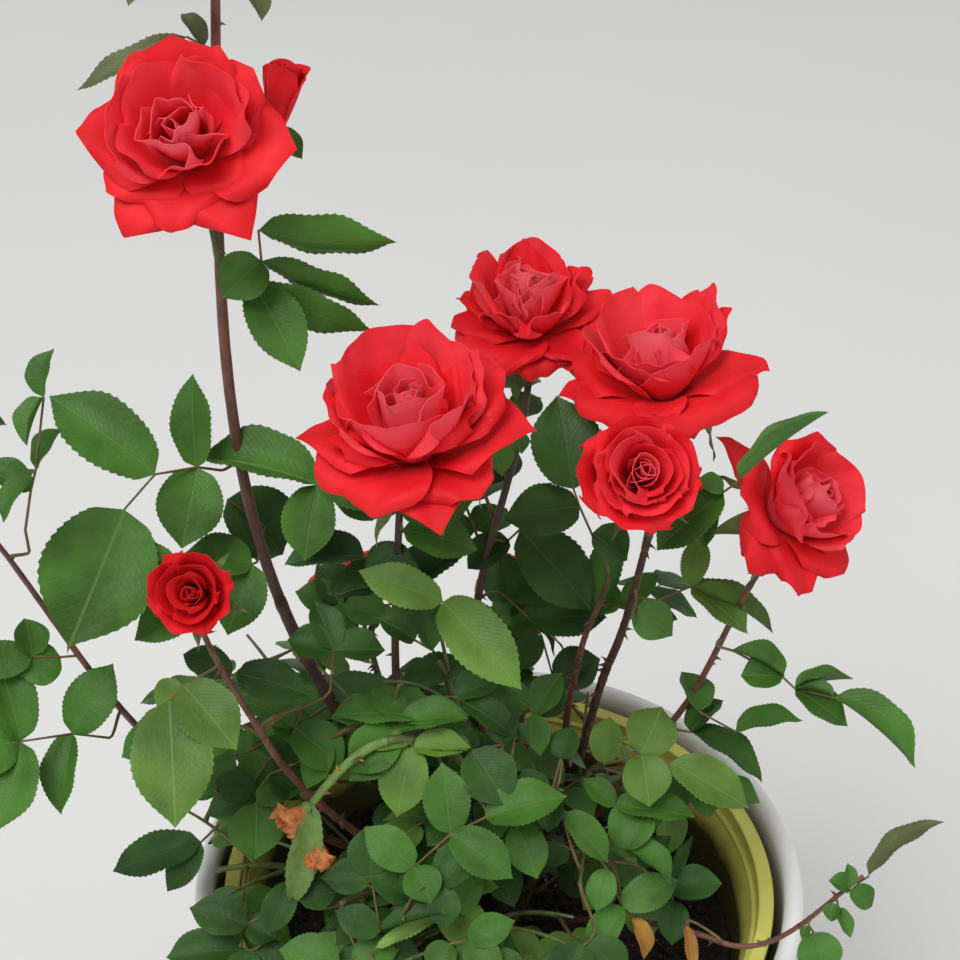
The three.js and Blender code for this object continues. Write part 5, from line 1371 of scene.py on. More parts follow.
class Room:
    """Keeps the places that leaves and stalks have taken, and says whether a new leaf has room."""

    def __init__(self):
        self.blades = np.zeros((0, 3))
        self.stalks = np.zeros((0, 3))
        self.owners = np.zeros(0, int)
        self.blooms = []
        self.shown = np.zeros((0, 3))

    def note_stalk(self, points, owner):
        self.stalks = np.concatenate([self.stalks, points])
        self.owners = np.concatenate([self.owners, np.full(len(points), owner)])

    def near(self, points, others, distance):
        low, high = points.min(axis=0) - distance, points.max(axis=0) + distance
        close = others[((others > low) & (others < high)).all(axis=1)]
        if not len(close):
            return False
        return bool((np.linalg.norm(points[:, None] - close[None], axis=-1) < distance).any())

    def in_pots(self, points):
        reach = np.hypot(points[:, 0], points[:, 1])
        rim = RIM_HEIGHT + RIM_MARGIN
        over = (reach > INNER_TAPER_RADIUS - POT_MARGIN) & (reach < RIM_RADIUS + POT_MARGIN)
        return bool(((points[:, 2] < rim) & ((points[:, 2] < SOIL_HEIGHT + POT_MARGIN) | over)).any())

    def in_blooms(self, points):
        return any(
            (np.linalg.norm(points - centre, axis=1) < radius).any() for centre, radius in self.blooms
        )

    def hides(self, points):
        """Whether a leaf would stand before a placed leaf or a flower, or in a view that stays open."""
        seen = in_picture(points)
        across = np.linalg.norm(seen[:, None, :2] - CLEARINGS[:, :2], axis=-1)
        if (across < CLEARINGS[:, 2]).any():
            return True
        gap = np.linalg.norm(seen[:, None, :2] - self.shown[:, :2], axis=-1)
        return bool(((gap < SHOWN_ROOM) & (seen[:, None, 2] < self.shown[:, 2])).any())

    def suits(self, plan, spots, owner, box):
        rachis = plan[0][1:]
        both = np.concatenate([rachis, spots])
        low, high = box
        outside = (both < low - REACH_MARGIN).any() or (both > high + REACH_MARGIN).any()
        if outside or self.in_pots(both) or self.in_blooms(both) or self.hides(spots):
            return False
        others = self.stalks[self.owners != owner]
        return not (
            self.near(spots, self.blades, BLADE_ROOM)
            or self.near(spots, self.stalks, STALK_ROOM)
            or self.near(rachis, self.blades, STALK_ROOM)
            or self.near(rachis, others, STALK_ROOM)
        )

    def take(self, plan, spots, owner):
        self.blades = np.concatenate([self.blades, spots])
        self.note_stalk(plan[0], owner)


def cane_curves(name):
    """A cane's two curves: the limb from its foot to its joint, and the stem from there to its tip."""
    cane = CANES[name]
    start = foot_point(cane["foot"])
    if "stub" in cane:
        start = curve_points(stub_curve(), [cane["stub"]])[0]
    bend = heading(*cane["bend"])
    joint = np.array(cane["joint"], float)
    limb = limb_curve(start, heading(cane["foot"][0], cane["rise"]), joint, bend)
    return limb, limb_curve(joint, bend, cane["tip"], heading(*cane["lean"]))


def stub_curve():
    """The curve of the pruned stub."""
    return rooted_curve(STUB["foot"], STUB["rise"], STUB["tip"], STUB["lean"])


def bloom_frame(facing):
    """A flower's own axes: across, which runs to the right as nearly as it can, third and its axis."""
    axis = heading(*facing)
    across = unit(np.array([1.0, 0, 0]) - axis * axis[0])
    return across, np.cross(axis, across), axis


def bloom_tall(bloom):
    """How tall a flower stands over its foot."""
    share = ROSE_TALL - ROSE_TALL_LOSS * bloom.opened if bloom.opened else BUD_TALL
    return bloom.width * share


def bloom_foot(bloom):
    """Where a flower's petals spring from."""
    sink = ROSE_SINK - ROSE_SINK_LOSS * bloom.opened if bloom.opened else BUD_SINK
    return np.array(bloom.centre, float) - heading(*bloom.facing) * bloom.width * sink


def bloom_stalk(bloom, stems):
    """The curve of a flower's stalk, from its mass's stem to its foot."""
    stem, foot, axis = stems[bloom.mass], bloom_foot(bloom), heading(*bloom.facing)
    start = curve_points(stem, [bloom.place])[0]
    way = curve_way(stem, bloom.place)
    if bloom.place < 1:
        way = unit(unit(foot - start) + way)
    return limb_curve(start, way, foot - axis * 2, axis)


class Plant:
    """Every curve and leaf of the plant, worked out once by the rule and drawn by the operators."""

    def __init__(self, width):
        self.width = width
        self.room = Room()
        self.limbs = {name: cane_curves(name)[0] for name in CANES}
        self.stems = {name: cane_curves(name)[1] for name in CANES}
        self.twigs = {name: [] for name in CANES}
        self.plans = {}
        for name, shoot in SHOOTS.items():
            self.stems[name] = rooted_curve(shoot.foot, shoot.rise, shoot.tip, shoot.lean)
            self.twigs[name] = self.grow_twigs(name)
        self.owners = {name: index for index, name in enumerate(self.stems)}
        self.stalks = {name: bloom_stalk(bloom, self.stems) for name, bloom in BLOOMS.items()}
        self.note_limbs()
        self.grow_leaves()

    def grow_twigs(self, name):
        """Side twigs of a low shoot, thrown left and right in turn, rising and then levelling off."""
        stem = self.stems[name]
        random = Seeded(SHOOTS[name].seed * TWIG_SEED)
        length = chord_lengths(curve_points(stem, np.linspace(0, 1, 40))).sum()
        twigs = []
        for index in range(SHOOT_TWIGS):
            place = TWIG_FIRST + TWIG_SPACING * index + random.between(*TWIG_SHIFT)
            way = curve_way(stem, place)
            side = 1 if index % 2 == 0 else -1
            azimuth = math.degrees(math.atan2(way[1], way[0])) + side * random.between(*TWIG_SWING)
            elevation = math.degrees(math.asin(way[2])) / 2 + random.between(*TWIG_RISE)
            reach = length * TWIG_SHARE * random.between(*TWIG_LENGTH)
            start = curve_points(stem, [place])[0]
            out, level = heading(azimuth, elevation), heading(azimuth, elevation - TWIG_BEND)
            twigs.append(limb_curve(start, out, start + (out + level) * reach / 2, level))
        return twigs

    def note_limbs(self):
        """Every limb, stem, twig and stalk takes its place before any leaf, and every flower too."""
        fine = np.linspace(0, 1, 31)
        for curve in [stub_curve(), *self.limbs.values()]:
            self.room.note_stalk(curve_points(curve, fine), -1)
        for name, stem in self.stems.items():
            self.room.note_stalk(curve_points(stem, fine), self.owners[name])
            for twig in self.twigs[name]:
                self.room.note_stalk(curve_points(twig, fine), self.owners[name])
        for stalk in self.stalks.values():
            self.room.note_stalk(curve_points(stalk, fine), -1)
        for name, bloom in BLOOMS.items():
            middle = bloom_foot(bloom) + heading(*bloom.facing) * bloom_tall(bloom) * BLOOM_MIDDLE
            self.room.blooms.append((middle, bloom.width * BLOOM_ROOM))
            if name not in UNSEEN:
                self.show(bloom)
        for x, y, z, size in SPENT["blooms"]:
            self.room.blooms.append((np.array([x, y, z], float), size * SPENT_ROOM))

    def show(self, bloom):
        """Notes where a flower stands in the picture, by discs of points across its axis."""
        across, third, axis = bloom_frame(bloom.facing)
        reach, turn = np.meshgrid(np.linspace(0, 0.5, 6) * bloom.width, np.linspace(0, 2 * np.pi, 18))
        disc = across * (reach * np.cos(turn))[..., None] + third * (reach * np.sin(turn))[..., None]
        for height in SHOWN_HEIGHTS:
            spots = (bloom_foot(bloom) + axis * bloom_tall(bloom) * height + disc).reshape(-1, 3)
            self.room.shown = np.concatenate([self.room.shown, in_picture(spots)])

    def box(self, name):
        low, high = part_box("leaves_" + name)
        return np.array(low) / MM, np.array(high) / MM

    def grow_leaves(self):
        """The placed leaves come first, then the seeded ones, one for each mass in turn."""
        for name in self.stems:
            self.plans[name] = []
        for index, (name, green, rachis, leaflets) in enumerate(PLACED):
            self.place_leaf(name, green, np.array(rachis, float), leaflets, Seeded(PLACED_SEED + index))
        most = max(SHOOT_LEAVES, *(cane["seeded"][0] for cane in CANES.values()))
        for index in range(most):
            for name in self.stems:
                self.seed_leaf(name, index)

    def place_leaf(self, name, green, rachis, leaflets, random):
        """A placed leaf: its stalk curves from the nearest point of its mass's stems to the rachis."""
        curves = [self.stems[name], *self.twigs.get(name, [])]
        places = np.linspace(0, 0.98, 50)
        tried = np.stack([curve_points(curve, places) for curve in curves])
        nearest = np.linalg.norm(tried - rachis[0], axis=-1).argmin()
        which, spot = np.unravel_index(nearest, tried.shape[:2])
        way = curve_way(curves[which], places[spot])
        stalk = limb_curve(tried[which, spot], way, rachis[0], unit(rachis[1] - rachis[0]))
        path = np.concatenate([curve_points(stalk, np.linspace(0, 1, 7)), rachis[1:]])
        made = [
            placed_blade(rachis[at], np.array([x, y, z], float), width, roll, random)
            for at, x, y, z, width, roll in leaflets
        ]
        plan = (path, made, green)
        spots = blade_points(plan, self.width)
        self.room.take(plan, spots, self.owners[name])
        self.room.shown = np.concatenate([self.room.shown, in_picture(spots)])
        self.plans[name].append(plan)

    def settle(self, name, plan):
        """Keeps a planned leaf if it has room."""
        spots = blade_points(plan, self.width)
        if not self.room.suits(plan, spots, self.owners[name], self.box(name)):
            return False
        self.room.take(plan, spots, self.owners[name])
        self.plans[name].append((*plan, ""))
        return True

    def seed_leaf(self, name, index):
        """A seeded leaf: on a shoot it sits along the stem or a twig in turn, on a cane's stem at even
        places; it is tried in several headings before it is left out."""
        if name in SHOOTS:
            seed, (small, large), count = SHOOTS[name].seed, SHOOTS[name].lengths, SHOOT_LEAVES
            curves = [self.stems[name], *self.twigs[name]]
            lap, which = divmod(index, len(curves))
            place = 1 - SHOOT_LAP * lap - (SHOOT_STEM_STEP if which == 0 else 0)
            curve = curves[which]
            droop, rise = SHOOT_DROOP, SHOOT_RISE
        else:
            count, start, end, small, large = CANES[name]["seeded"]
            seed, curve = CANES[name]["seed"], self.stems[name]
            place = start + (end - start) * (index + 0.5) / max(count, 1)
            droop, rise = CANE_DROOP, CANE_RISE
        if index >= count:
            return
        held = min(place, LAST_PLACE)
        base, way = curve_points(curve, [held])[0], curve_way(curve, held)
        random = Seeded(seed * SEEDED_SEED + index * SEEDED_STEP)
        along = math.degrees(math.atan2(way[1], way[0]))
        side = 1 if index % 2 == 0 else -1
        for _ in range(TRIES):
            azimuth = along + side * random.between(*SIDE_SWING)
            if place > END_PLACE:
                azimuth = along + random.between(*END_SWING)
            if way[2] > UPRIGHT:
                azimuth = GOLDEN_ANGLE * index + random.between(*UPRIGHT_SWING) + seed * SEED_TURN
            size = random.between(small, large)
            leaf = (
                azimuth, random.between(*rise), size * RACHIS_TO_LEAFLET, size,
                random.between(*droop), side * random.between(*RACHIS_TURN), random.between(*RACHIS_ROLL),
            )
            if self.settle(name, plan_leaf(base, leaf, random)):
                return


RIM_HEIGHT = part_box("outer_pot")[1].z / MM
RIM_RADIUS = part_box("outer_pot")[1].x / MM
INNER_RIM_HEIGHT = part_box("inner_pot")[1].z / MM
INNER_RIM_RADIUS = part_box("inner_pot")[1].x / MM
SOIL_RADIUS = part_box("potting_soil")[1].x / MM
SOIL_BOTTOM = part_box("potting_soil")[0].z / MM


# Settings

def colour_setting(name, text, value):
    return FloatVectorProperty(
        name=name, description=text, subtype="COLOR", size=3, min=0, max=1, default=value,
    )


def length_setting(name, text, value):
    return FloatProperty(
        name=name, description=text, subtype="DISTANCE", unit="LENGTH", default=value * MM,
    )


def share_setting(name, text, value):
    return FloatProperty(name=name, description=text, subtype="FACTOR", min=0, max=1, default=value)


def power_setting(name, text, value):
    return FloatProperty(name=name, description=text, default=value)


class PotSettings(bpy.types.PropertyGroup):
    outer: colour_setting("Outer pot", "Glaze of the outer pot", (0.86, 0.86, 0.84))
    outer_dust: colour_setting("Outer dust", "Faint dust on the outer pot", (0.74, 0.74, 0.71))
    inner: colour_setting("Inner pot", "Plastic of the inner pot", (0.66, 0.64, 0.12))
    inner_dust: colour_setting("Inner dust", "Soil stain on the inner pot", (0.4, 0.38, 0.07))
    # Inner depth is painted shade down the inner pot's wall towards the soil.
    inner_deep: colour_setting("Inner depth", "Stained wall above the soil", (0.05, 0.05, 0.012))
    ridge_drop: length_setting("Ridge drop", "Depth of the ridge under the inner rim", 9)
    sides: IntProperty(name="Sides", description="Steps round each pot", min=24, default=160)


class SoilSettings(bpy.types.PropertyGroup):
    dark: colour_setting("Peat", "Dark peat of the soil", (0.009, 0.007, 0.006))
    brown: colour_setting("Bark", "Brown bark chips", (0.034, 0.018, 0.011))
    tan: colour_setting("Fibre", "Light fibres and flecks", (0.24, 0.17, 0.11))
    chips: IntProperty(name="Chips", description="Number of bark chips", min=0, default=4200)
    relief: length_setting("Relief", "Height of the crumbs", 3.2)


class WoodSettings(bpy.types.PropertyGroup):
    bark: colour_setting("Bark", "Old bark at the foot", (0.075, 0.042, 0.026))
    bark_dark: colour_setting("Dark bark", "Cracks in the old bark", (0.025, 0.014, 0.01))
    cane_dark: colour_setting("Dark cane", "Upper part of the dark canes", (0.085, 0.04, 0.03))
    cane_red: colour_setting("Red cane", "Upper part of the red canes", (0.17, 0.07, 0.048))
    cane_green: colour_setting("Green cane", "Upper part of the green canes", (0.11, 0.14, 0.04))
    cut: colour_setting("Cut", "Pale face of the pruned stub", (0.62, 0.42, 0.34))
    prickles: IntProperty(name="Prickles", description="Prickles on each cane", min=0, default=12)


class LeafSettings(bpy.types.PropertyGroup):
    width: share_setting("Width", "Width of a leaflet as a share of its length", 0.72)
    fold: share_setting("Fold", "How far the halves fold up from the midrib", 0.22)
    teeth: share_setting("Teeth", "Depth of a tooth as a share of the leaflet's length", 0.011)
    # The dark green stands for old leaves, and on many of the low placed leaves for painted shade.
    dark: colour_setting("Dark", "Old leaves", (0.028, 0.09, 0.012))
    middle: colour_setting("Middle", "Most leaves", (0.052, 0.155, 0.017))
    light: colour_setting("Light", "Fresh leaves", (0.094, 0.198, 0.028))
    young: colour_setting("Young", "Youngest leaves", (0.17, 0.3, 0.065))
    olive: colour_setting("Olive", "Bronzed leaves at the top", (0.1, 0.125, 0.045))
    stalk: colour_setting("Stalk", "Leaf stalks", (0.2, 0.13, 0.045))
    yellow: colour_setting("Yellow", "The yellowed leaves", (0.42, 0.2, 0.03))
    fallen: colour_setting("Fallen", "Dry leaves on the soil", (0.16, 0.075, 0.03))


class RoseSettings(bpy.types.PropertyGroup):
    outer: colour_setting("Outer petals", "Red of the outer petals", (0.86, 0.02, 0.028))
    outer_deep: colour_setting("Outer shade", "Deep red of the outer petals", (0.66, 0.006, 0.012))
    inner: colour_setting("Cup petals", "Pinker red of the cup petals", (0.92, 0.055, 0.075))
    inner_deep: colour_setting("Cup shade", "Deep red of the cup petals", (0.84, 0.022, 0.036))
    heart: colour_setting("Heart petals", "Pink of the petals in the heart", (1.0, 0.12, 0.175))
    claw: colour_setting("Claw", "Pale foot of an inner petal", (1.0, 0.22, 0.29))
    bud: colour_setting("Bud", "Deep red of a closed bud", (0.76, 0.012, 0.018))
    sepal: colour_setting("Sepal", "Green of the sepals and the hip", (0.16, 0.24, 0.06))
    spent: colour_setting("Spent", "Dried petals", (0.78, 0.3, 0.08))
    spent_dark: colour_setting("Spent shade", "Dark creases of dried petals", (0.42, 0.12, 0.04))


class StageSettings(bpy.types.PropertyGroup):
    floor: colour_setting("Floor", "Plain pale floor", (0.8, 0.8, 0.79))
    room: colour_setting("Room", "Soft light from all round", (1.0, 0.995, 0.985))
    room_power: power_setting("Room power", "Strength of the light from all round", 0.475)
    key_power: power_setting("Key power", "Power of the window light in watts", 106)
    fill_power: power_setting("Fill power", "Power of the fill light in watts", 12)


SETTINGS = {
    "rosebush_pots": PotSettings,
    "rosebush_soil": SoilSettings,
    "rosebush_wood": WoodSettings,
    "rosebush_leaves": LeafSettings,
    "rosebush_roses": RoseSettings,
    "rosebush_stage": StageSettings,
}
LEAF_GREENS = ("dark", "middle", "light", "young", "olive", "yellow")


def plant(context):
    """The plant's plan, worked out at the first call and kept for the other operators."""
    if not made_plants:
        made_plants.append(Plant(context.scene.rosebush_leaves.width))
    return made_plants[0]


made_plants = []


# Operators

class ROSEBUSH_OT_stage(bpy.types.Operator):
    """Makes the floor, the soft light and the camera"""

    bl_idname = "rosebush.stage"
    bl_label = "Stage"

    def execute(self, context):
        settings = context.scene.rosebush_stage
        corners = np.array([(-1, -1, 0), (1, -1, 0), (1, 1, 0), (-1, 1, 0)], float)
        ground = Joined()
        ground.add((corners * FLOOR_REACH, [np.array([[0, 1, 2, 3]])], corners[:, :2]))
        mesh = ground.mesh("floor")
        paper = grained("floor_paper", settings.floor, shade(settings.floor, 0.985), 0.9, 3, 3, 0.2)
        mesh.materials.append(paper)
        floor = bpy.data.objects.new("floor", mesh)
        context.scene.collection.objects.link(floor)
        world = bpy.data.worlds.new("room")
        world.use_nodes = True
        background = world.node_tree.nodes["Background"]
        background.inputs["Color"].default_value = (*settings.room, 1)
        background.inputs["Strength"].default_value = settings.room_power
        context.scene.world = world
        self.light(context, "window_light", settings.key_power, *WINDOW_LAMP)
        self.light(context, "fill_light", settings.fill_power, *FILL_LAMP)
        camera = bpy.data.objects.new("camera", bpy.data.cameras.new("camera"))
        camera.data.lens = CAMERA_LENS
        camera.data.sensor_width = SENSOR
        camera.location = np.array(CAMERA_PLACE) * MM
        camera.rotation_euler = (math.radians(CAMERA_PITCH), 0, 0)
        context.scene.collection.objects.link(camera)
        context.scene.camera = camera
        context.scene.view_settings.view_transform = "Standard"
        return {"FINISHED"}

    def light(self, context, name, power, size, place):
        """A square lamp that faces the middle of the plant."""
        lamp = bpy.data.lights.new(name, "AREA")
        lamp.energy = power
        lamp.size = size * MM
        piece = bpy.data.objects.new(name, lamp)
        aim = np.array(LAMP_AIM) - np.array(place, float)
        azimuth = math.atan2(aim[1], aim[0])
        tilt = math.atan2(np.hypot(aim[0], aim[1]), -aim[2])
        piece.location = np.array(place) * MM
        piece.rotation_euler = (tilt, 0, azimuth - math.pi / 2)
        context.scene.collection.objects.link(piece)


class ROSEBUSH_OT_pots(bpy.types.Operator):
    """Makes the outer and the inner pot as smooth turned surfaces"""

    bl_idname = "rosebush.pots"
    bl_label = "Pots"

    def execute(self, context):
        settings = context.scene.rosebush_pots
        outer = Joined()
        outer.add(lathe(self.outer_profile(), settings.sides))
        glaze = glazed("white_glaze", settings.outer, settings.outer_dust, 0.3, 0.35)
        made = outer.mesh("outer_pot_glazed", 50)
        place_piece("outer_pot_glazed", made, [glaze], ["outer_pot"])
        inner = Joined()
        inner.add(lathe(self.inner_profile(settings.ridge_drop / MM), settings.sides))
        # settings.inner_deep is the painted shade down the inner pot's wall.
        lime = glazed("lime_plastic", settings.inner, settings.inner_dust, 0.42, 0.25, settings.inner_deep)
        made = inner.mesh("inner_pot_moulded", 50)
        place_piece("inner_pot_moulded", made, [lime], ["inner_pot"])
        return {"FINISHED"}

    def outer_profile(self):
        """From the middle of the underside out over the rounded foot, up the tapering wall, over the
        broad lip by arcs, and down the inside."""
        edge = OUTER_FOOT_EDGE
        foot = arc((OUTER_FOOT_RADIUS - edge, edge), edge, -90, -8, 6)
        round_by = OUTER_LIP / 2
        shoulder = RIM_HEIGHT - OUTER_SHOULDER
        lip = arc((RIM_RADIUS - round_by, RIM_HEIGHT - round_by), round_by, -20, 180, 16)
        neck = RIM_RADIUS - OUTER_LIP_OVERHANG
        edge = OUTER_FLOOR_EDGE
        bottom = arc((OUTER_FOOT_RADIUS - OUTER_WALL - edge, OUTER_FLOOR + edge), edge, 8, -90, 5)
        wall = [(neck - 1.4, shoulder - 3), (neck, shoulder), (RIM_RADIUS - 1.2, shoulder + 3)]
        down = [(RIM_RADIUS - OUTER_LIP - 0.3, RIM_HEIGHT - 9), (neck - OUTER_WALL, shoulder - 5)]
        underside = [(0, 0), (OUTER_FOOT_RADIUS - 14, 0)]
        return [*underside, *foot, *wall, *lip, *down, *bottom, (0, OUTER_FLOOR)]

    def inner_profile(self, ridge_drop):
        """A flat rim over a sloping shoulder, with a rounded ridge on the inside a little under it."""
        bottom = OUTER_FLOOR + POT_CLEARANCE
        top = INNER_RIM_HEIGHT
        under = top - INNER_RIM_DEPTH
        mouth = INNER_RIM_RADIUS - INNER_RIM_WIDTH
        taper_top = top - INNER_SHOULDER
        by = INNER_RIM_EDGE
        edge = arc((INNER_RIM_RADIUS - by, top - by), by, 0, 90, 4)
        inside = arc((mouth + by, top - by), by, 90, 180, 4)
        ridge = arc((mouth - 1.6, top - ridge_drop), 1.5, 60, 250, 7)
        return [
            (0, bottom), (INNER_FOOT_RADIUS - 3, bottom), (INNER_FOOT_RADIUS, bottom + 3),
            (INNER_TAPER_RADIUS + INNER_WALL, taper_top), (mouth + INNER_WALL, under),
            (INNER_RIM_RADIUS, under), *edge, *inside, (mouth - 0.4, top - ridge_drop + 3), *ridge,
            (INNER_TAPER_RADIUS, taper_top - 1), (INNER_FOOT_RADIUS - INNER_WALL, bottom + INNER_WALL),
            (0, bottom + INNER_WALL),
        ]


def soil_height(points, relief):
    """The soil's surface over a point: a slow swell, crumbs of about 7 mm and finer ones, and a dip
    towards the pot's wall."""
    flat = np.stack([points[..., 0], points[..., 1], 0 * points[..., 0]], axis=-1)
    reach = np.hypot(points[..., 0], points[..., 1]) / SOIL_RADIUS
    return SOIL_HEIGHT - SOIL_SINK - SOIL_DIP * reach**3 + relief * layered(flat, SOIL_GRAINS)


class ROSEBUSH_OT_soil(bpy.types.Operator):
    """Makes the potting soil with its bark chips, flecks and fallen leaves"""

    bl_idname = "rosebush.soil"
    bl_label = "Soil"

    def execute(self, context):
        settings = context.scene.rosebush_soil
        leaves = context.scene.rosebush_leaves
        relief = settings.relief / MM
        bed = Joined()
        bed.add(self.bed(relief))
        peat = grained("peat", settings.dark, settings.brown, 0.95, 380, 6, 1.2)
        place_piece("soil_bed", bed.mesh("soil_bed"), [peat], ["potting_soil"])
        random = np.random.default_rng(SOIL_SEED)
        for kind, part, sizes in CHIP_KINDS:
            chips = Joined()
            chips.add(self.chips(int(settings.chips * part), sizes, relief, random))
            colour = getattr(settings, kind)
            finish = grained(f"chips_{kind}", colour, shade(colour, 0.5), 0.9, 300, 3, 0.4)
            made = chips.mesh(f"soil_chips_{kind}", 30)
            place_piece(f"soil_chips_{kind}", made, [finish])
        fallen = Joined()
        fallen.add(self.fallen(relief, random))
        dry = grained("dry_leaf", leaves.fallen, shade(leaves.fallen, 0.5), 0.8, 120, 4, 0.5)
        place_piece("fallen_leaves", fallen.mesh("fallen_leaves"), [dry])
        return {"FINISHED"}

    def bed(self, relief):
        """The soil's closed body: a turned profile whose top rows are lifted to the soil's surface."""
        edge = SOIL_RADIUS - 0.2
        top = [(edge * (1 - row / SOIL_ROWS) ** 0.9, SOIL_HEIGHT) for row in range(SOIL_ROWS)]
        foot = INNER_FOOT_RADIUS - INNER_WALL - 0.4
        below = [(0, SOIL_BOTTOM), (foot, SOIL_BOTTOM), (edge - 0.2, SOIL_HEIGHT - 12)]
        verts, faces, uvs = lathe(below + top + [(0, SOIL_HEIGHT)], SOIL_SIDES)
        upper = verts[:, 2] > SOIL_HEIGHT - 1
        verts[upper, 2] = soil_height(verts[upper], relief)
        return verts, faces, uvs

    def scatter(self, count, random, inner=0.0):
        """Even places on the soil's disc."""
        reach = (SOIL_RADIUS - 4) * np.sqrt(random.uniform(inner, 1, count))
        turn = random.uniform(0, 2 * np.pi, count)
        return np.stack([reach * np.cos(turn), reach * np.sin(turn), 0 * reach], axis=-1)

    def chips(self, count, sizes, relief, random):
        """Bark chips: a box with moved corners for each, turned at random and laid on the soil."""
        corners = np.array([[x, y, z] for z in (-1, 1) for y in (-1, 1) for x in (-1, 1)], float)
        box = np.array([
            (0, 2, 3, 1), (4, 5, 7, 6), (0, 1, 5, 4), (2, 6, 7, 3), (0, 4, 6, 2), (1, 3, 7, 5),
        ])
        long = random.uniform(*sizes, count)
        wide, deep = long * random.uniform(0.3, 0.7, count), long * random.uniform(0.12, 0.35, count)
        scale = np.stack([long, wide, deep], axis=-1)
        shapes = corners * scale[:, None] / 2 * random.uniform(0.65, 1.2, (count, 8, 1))
        turn = random.uniform(0, 2 * np.pi, count)
        tilt = random.normal(0, 0.45, count)
        x = shapes[..., 0] * np.cos(tilt)[:, None] + shapes[..., 2] * np.sin(tilt)[:, None]
        z = shapes[..., 2] * np.cos(tilt)[:, None] - shapes[..., 0] * np.sin(tilt)[:, None]
        y = shapes[..., 1]
        turned = np.stack([
            x * np.cos(turn)[:, None] - y * np.sin(turn)[:, None],
            x * np.sin(turn)[:, None] + y * np.cos(turn)[:, None],
            z,
        ], axis=-1)
        places = self.scatter(count, random)
        places[:, 2] = soil_height(places, relief) + random.uniform(0, 0.8, count)
        verts = turned + places[:, None]
        faces = (box[None] + 8 * np.arange(count)[:, None, None]).reshape(-1, 4)
        return verts.reshape(-1, 3), [faces], np.zeros((count * 8, 2))

    def fallen(self, relief, random):
        """Dry curled leaves that lie on the soil."""
        places = self.scatter(FALLEN_COUNT, random, 0.1)
        places[:len(FALLEN_PLACES)] = FALLEN_PLACES
        places[:, 2] = soil_height(places, relief) + 5
        turn = random.uniform(-180, 180, FALLEN_COUNT)
        ways = heading(turn, random.uniform(-5, 25, FALLEN_COUNT))
        upward = heading(turn, np.full(FALLEN_COUNT, 95.0))
        normals = unit(upward + random.normal(0, 0.25, (FALLEN_COUNT, 3)))
        normals = unit(normals - ways * (normals * ways).sum(axis=1, keepdims=True))
        lengths = random.uniform(*FALLEN_LENGTH, FALLEN_COUNT)
        return blades(places, ways, normals, lengths, FALLEN_LOOK, 8)


class ROSEBUSH_OT_wood(bpy.types.Operator):
    """Makes the woody base, the pruned stub, the canes and their prickles"""

    bl_idname = "rosebush.wood"
    bl_label = "Wood"

    def execute(self, context):
        settings = context.scene.rosebush_wood
        bark = grained("old_bark", settings.bark, settings.bark_dark, 0.85, 160, 5, 1.6)
        base = Joined()
        base.add(self.base())
        place_piece("woody_base_bark", base.mesh("woody_base_bark"), [bark], ["woody_base"])
        fresh = grained("fresh_cut", settings.cut, shade(settings.cut, 0.8), 0.8, 500, 3, 0.2)
        stub = Joined()
        path = curve_points(stub_curve(), np.linspace(0, 1, 30))
        stub.add(tube(path, np.linspace(*STUB["radii"], 30), 16, 0.5, 3.0, 21))
        face = path[-1:] + heading(*STUB["lean"]) * np.array([[-0.6], [0.25]])
        stub.add(tube(face, np.full(2, STUB["radii"][1] * 0.86), 16), 1)
        place_piece("stub_bark", stub.mesh("stub_bark", 40), [bark, fresh], ["stub_pruned"])
        finishes = {
            kind: cane_material(
                f"cane_{kind}", settings.bark, getattr(settings, f"cane_{kind}"), *CANE_BROWN,
            )
            for kind in ("dark", "red", "green")
        }
        finishes["tall"] = finishes["dark"]
        for name, cane in CANES.items():
            piece = Joined()
            limb, radii = plant(context).limbs[name], np.array(cane["radii"]) * SLIM[name]
            self.cane(piece, limb, radii[0], radii[1], cane["seed"], settings.prickles)
            made = piece.mesh(f"cane_{name}_bark")
            place_piece(f"cane_{name}_bark", made, [finishes[cane["bark"]]], [f"cane_{name}"])
        spent = Joined()
        limb = rooted_curve(SPENT["foot"], SPENT["rise"], SPENT["joint"], SPENT["bend"])
        foot_radius, joint_radius, _ = SPENT["radii"]
        self.cane(spent, limb, foot_radius, joint_radius, SPENT_SEED, settings.prickles)
        made = spent.mesh("cane_spent_bark")
        place_piece("cane_spent_bark", made, [finishes["green"]], ["cane_spent"])
        return {"FINISHED"}

    def base(self):
        """The swollen foot: a turned profile pushed in and out by noise and by long burls."""
        share = np.linspace(0, 1, 40)
        swell = 0.86 + 0.1 * np.sin(share * 5.2 + 0.4) - 0.5 * np.maximum(0, share - 0.78) ** 1.2 * 3
        height = SOIL_HEIGHT + 0.3 + share * BASE_HEIGHT
        profile = [(0, height[0] - 3), *zip(BASE_RADIUS * swell, height), (0, height[-1] + 0.5)]
        verts, faces, uvs = lathe(profile, 56)
        outward = unit(verts * [1, 1, 0])
        long = verts * [1, 1, 0.3]
        push = layered(long, BASE_BURLS) + layered(verts, BASE_GRAINS)
        return verts + outward * push[:, None], faces, uvs

    def cane(self, piece, curve, start, end, seed, prickles):
        """A cane: a tube with a slight swelling at each old bud, fine bark, and its prickles."""
        share = np.linspace(0, 1, 60)
        path = curve_points(curve, share)
        radii = start + (end - start) * share
        buds = np.maximum(0, np.cos((share * 6 + seed * 0.37) * 2 * np.pi)) ** 12
        piece.add(tube(path, radii * (1 + BUD_SWELLING * buds), 14, 0.16, 1.6, seed))
        add_prickles(piece, curve, (start + end) / 2, prickles, seed, 0.3)


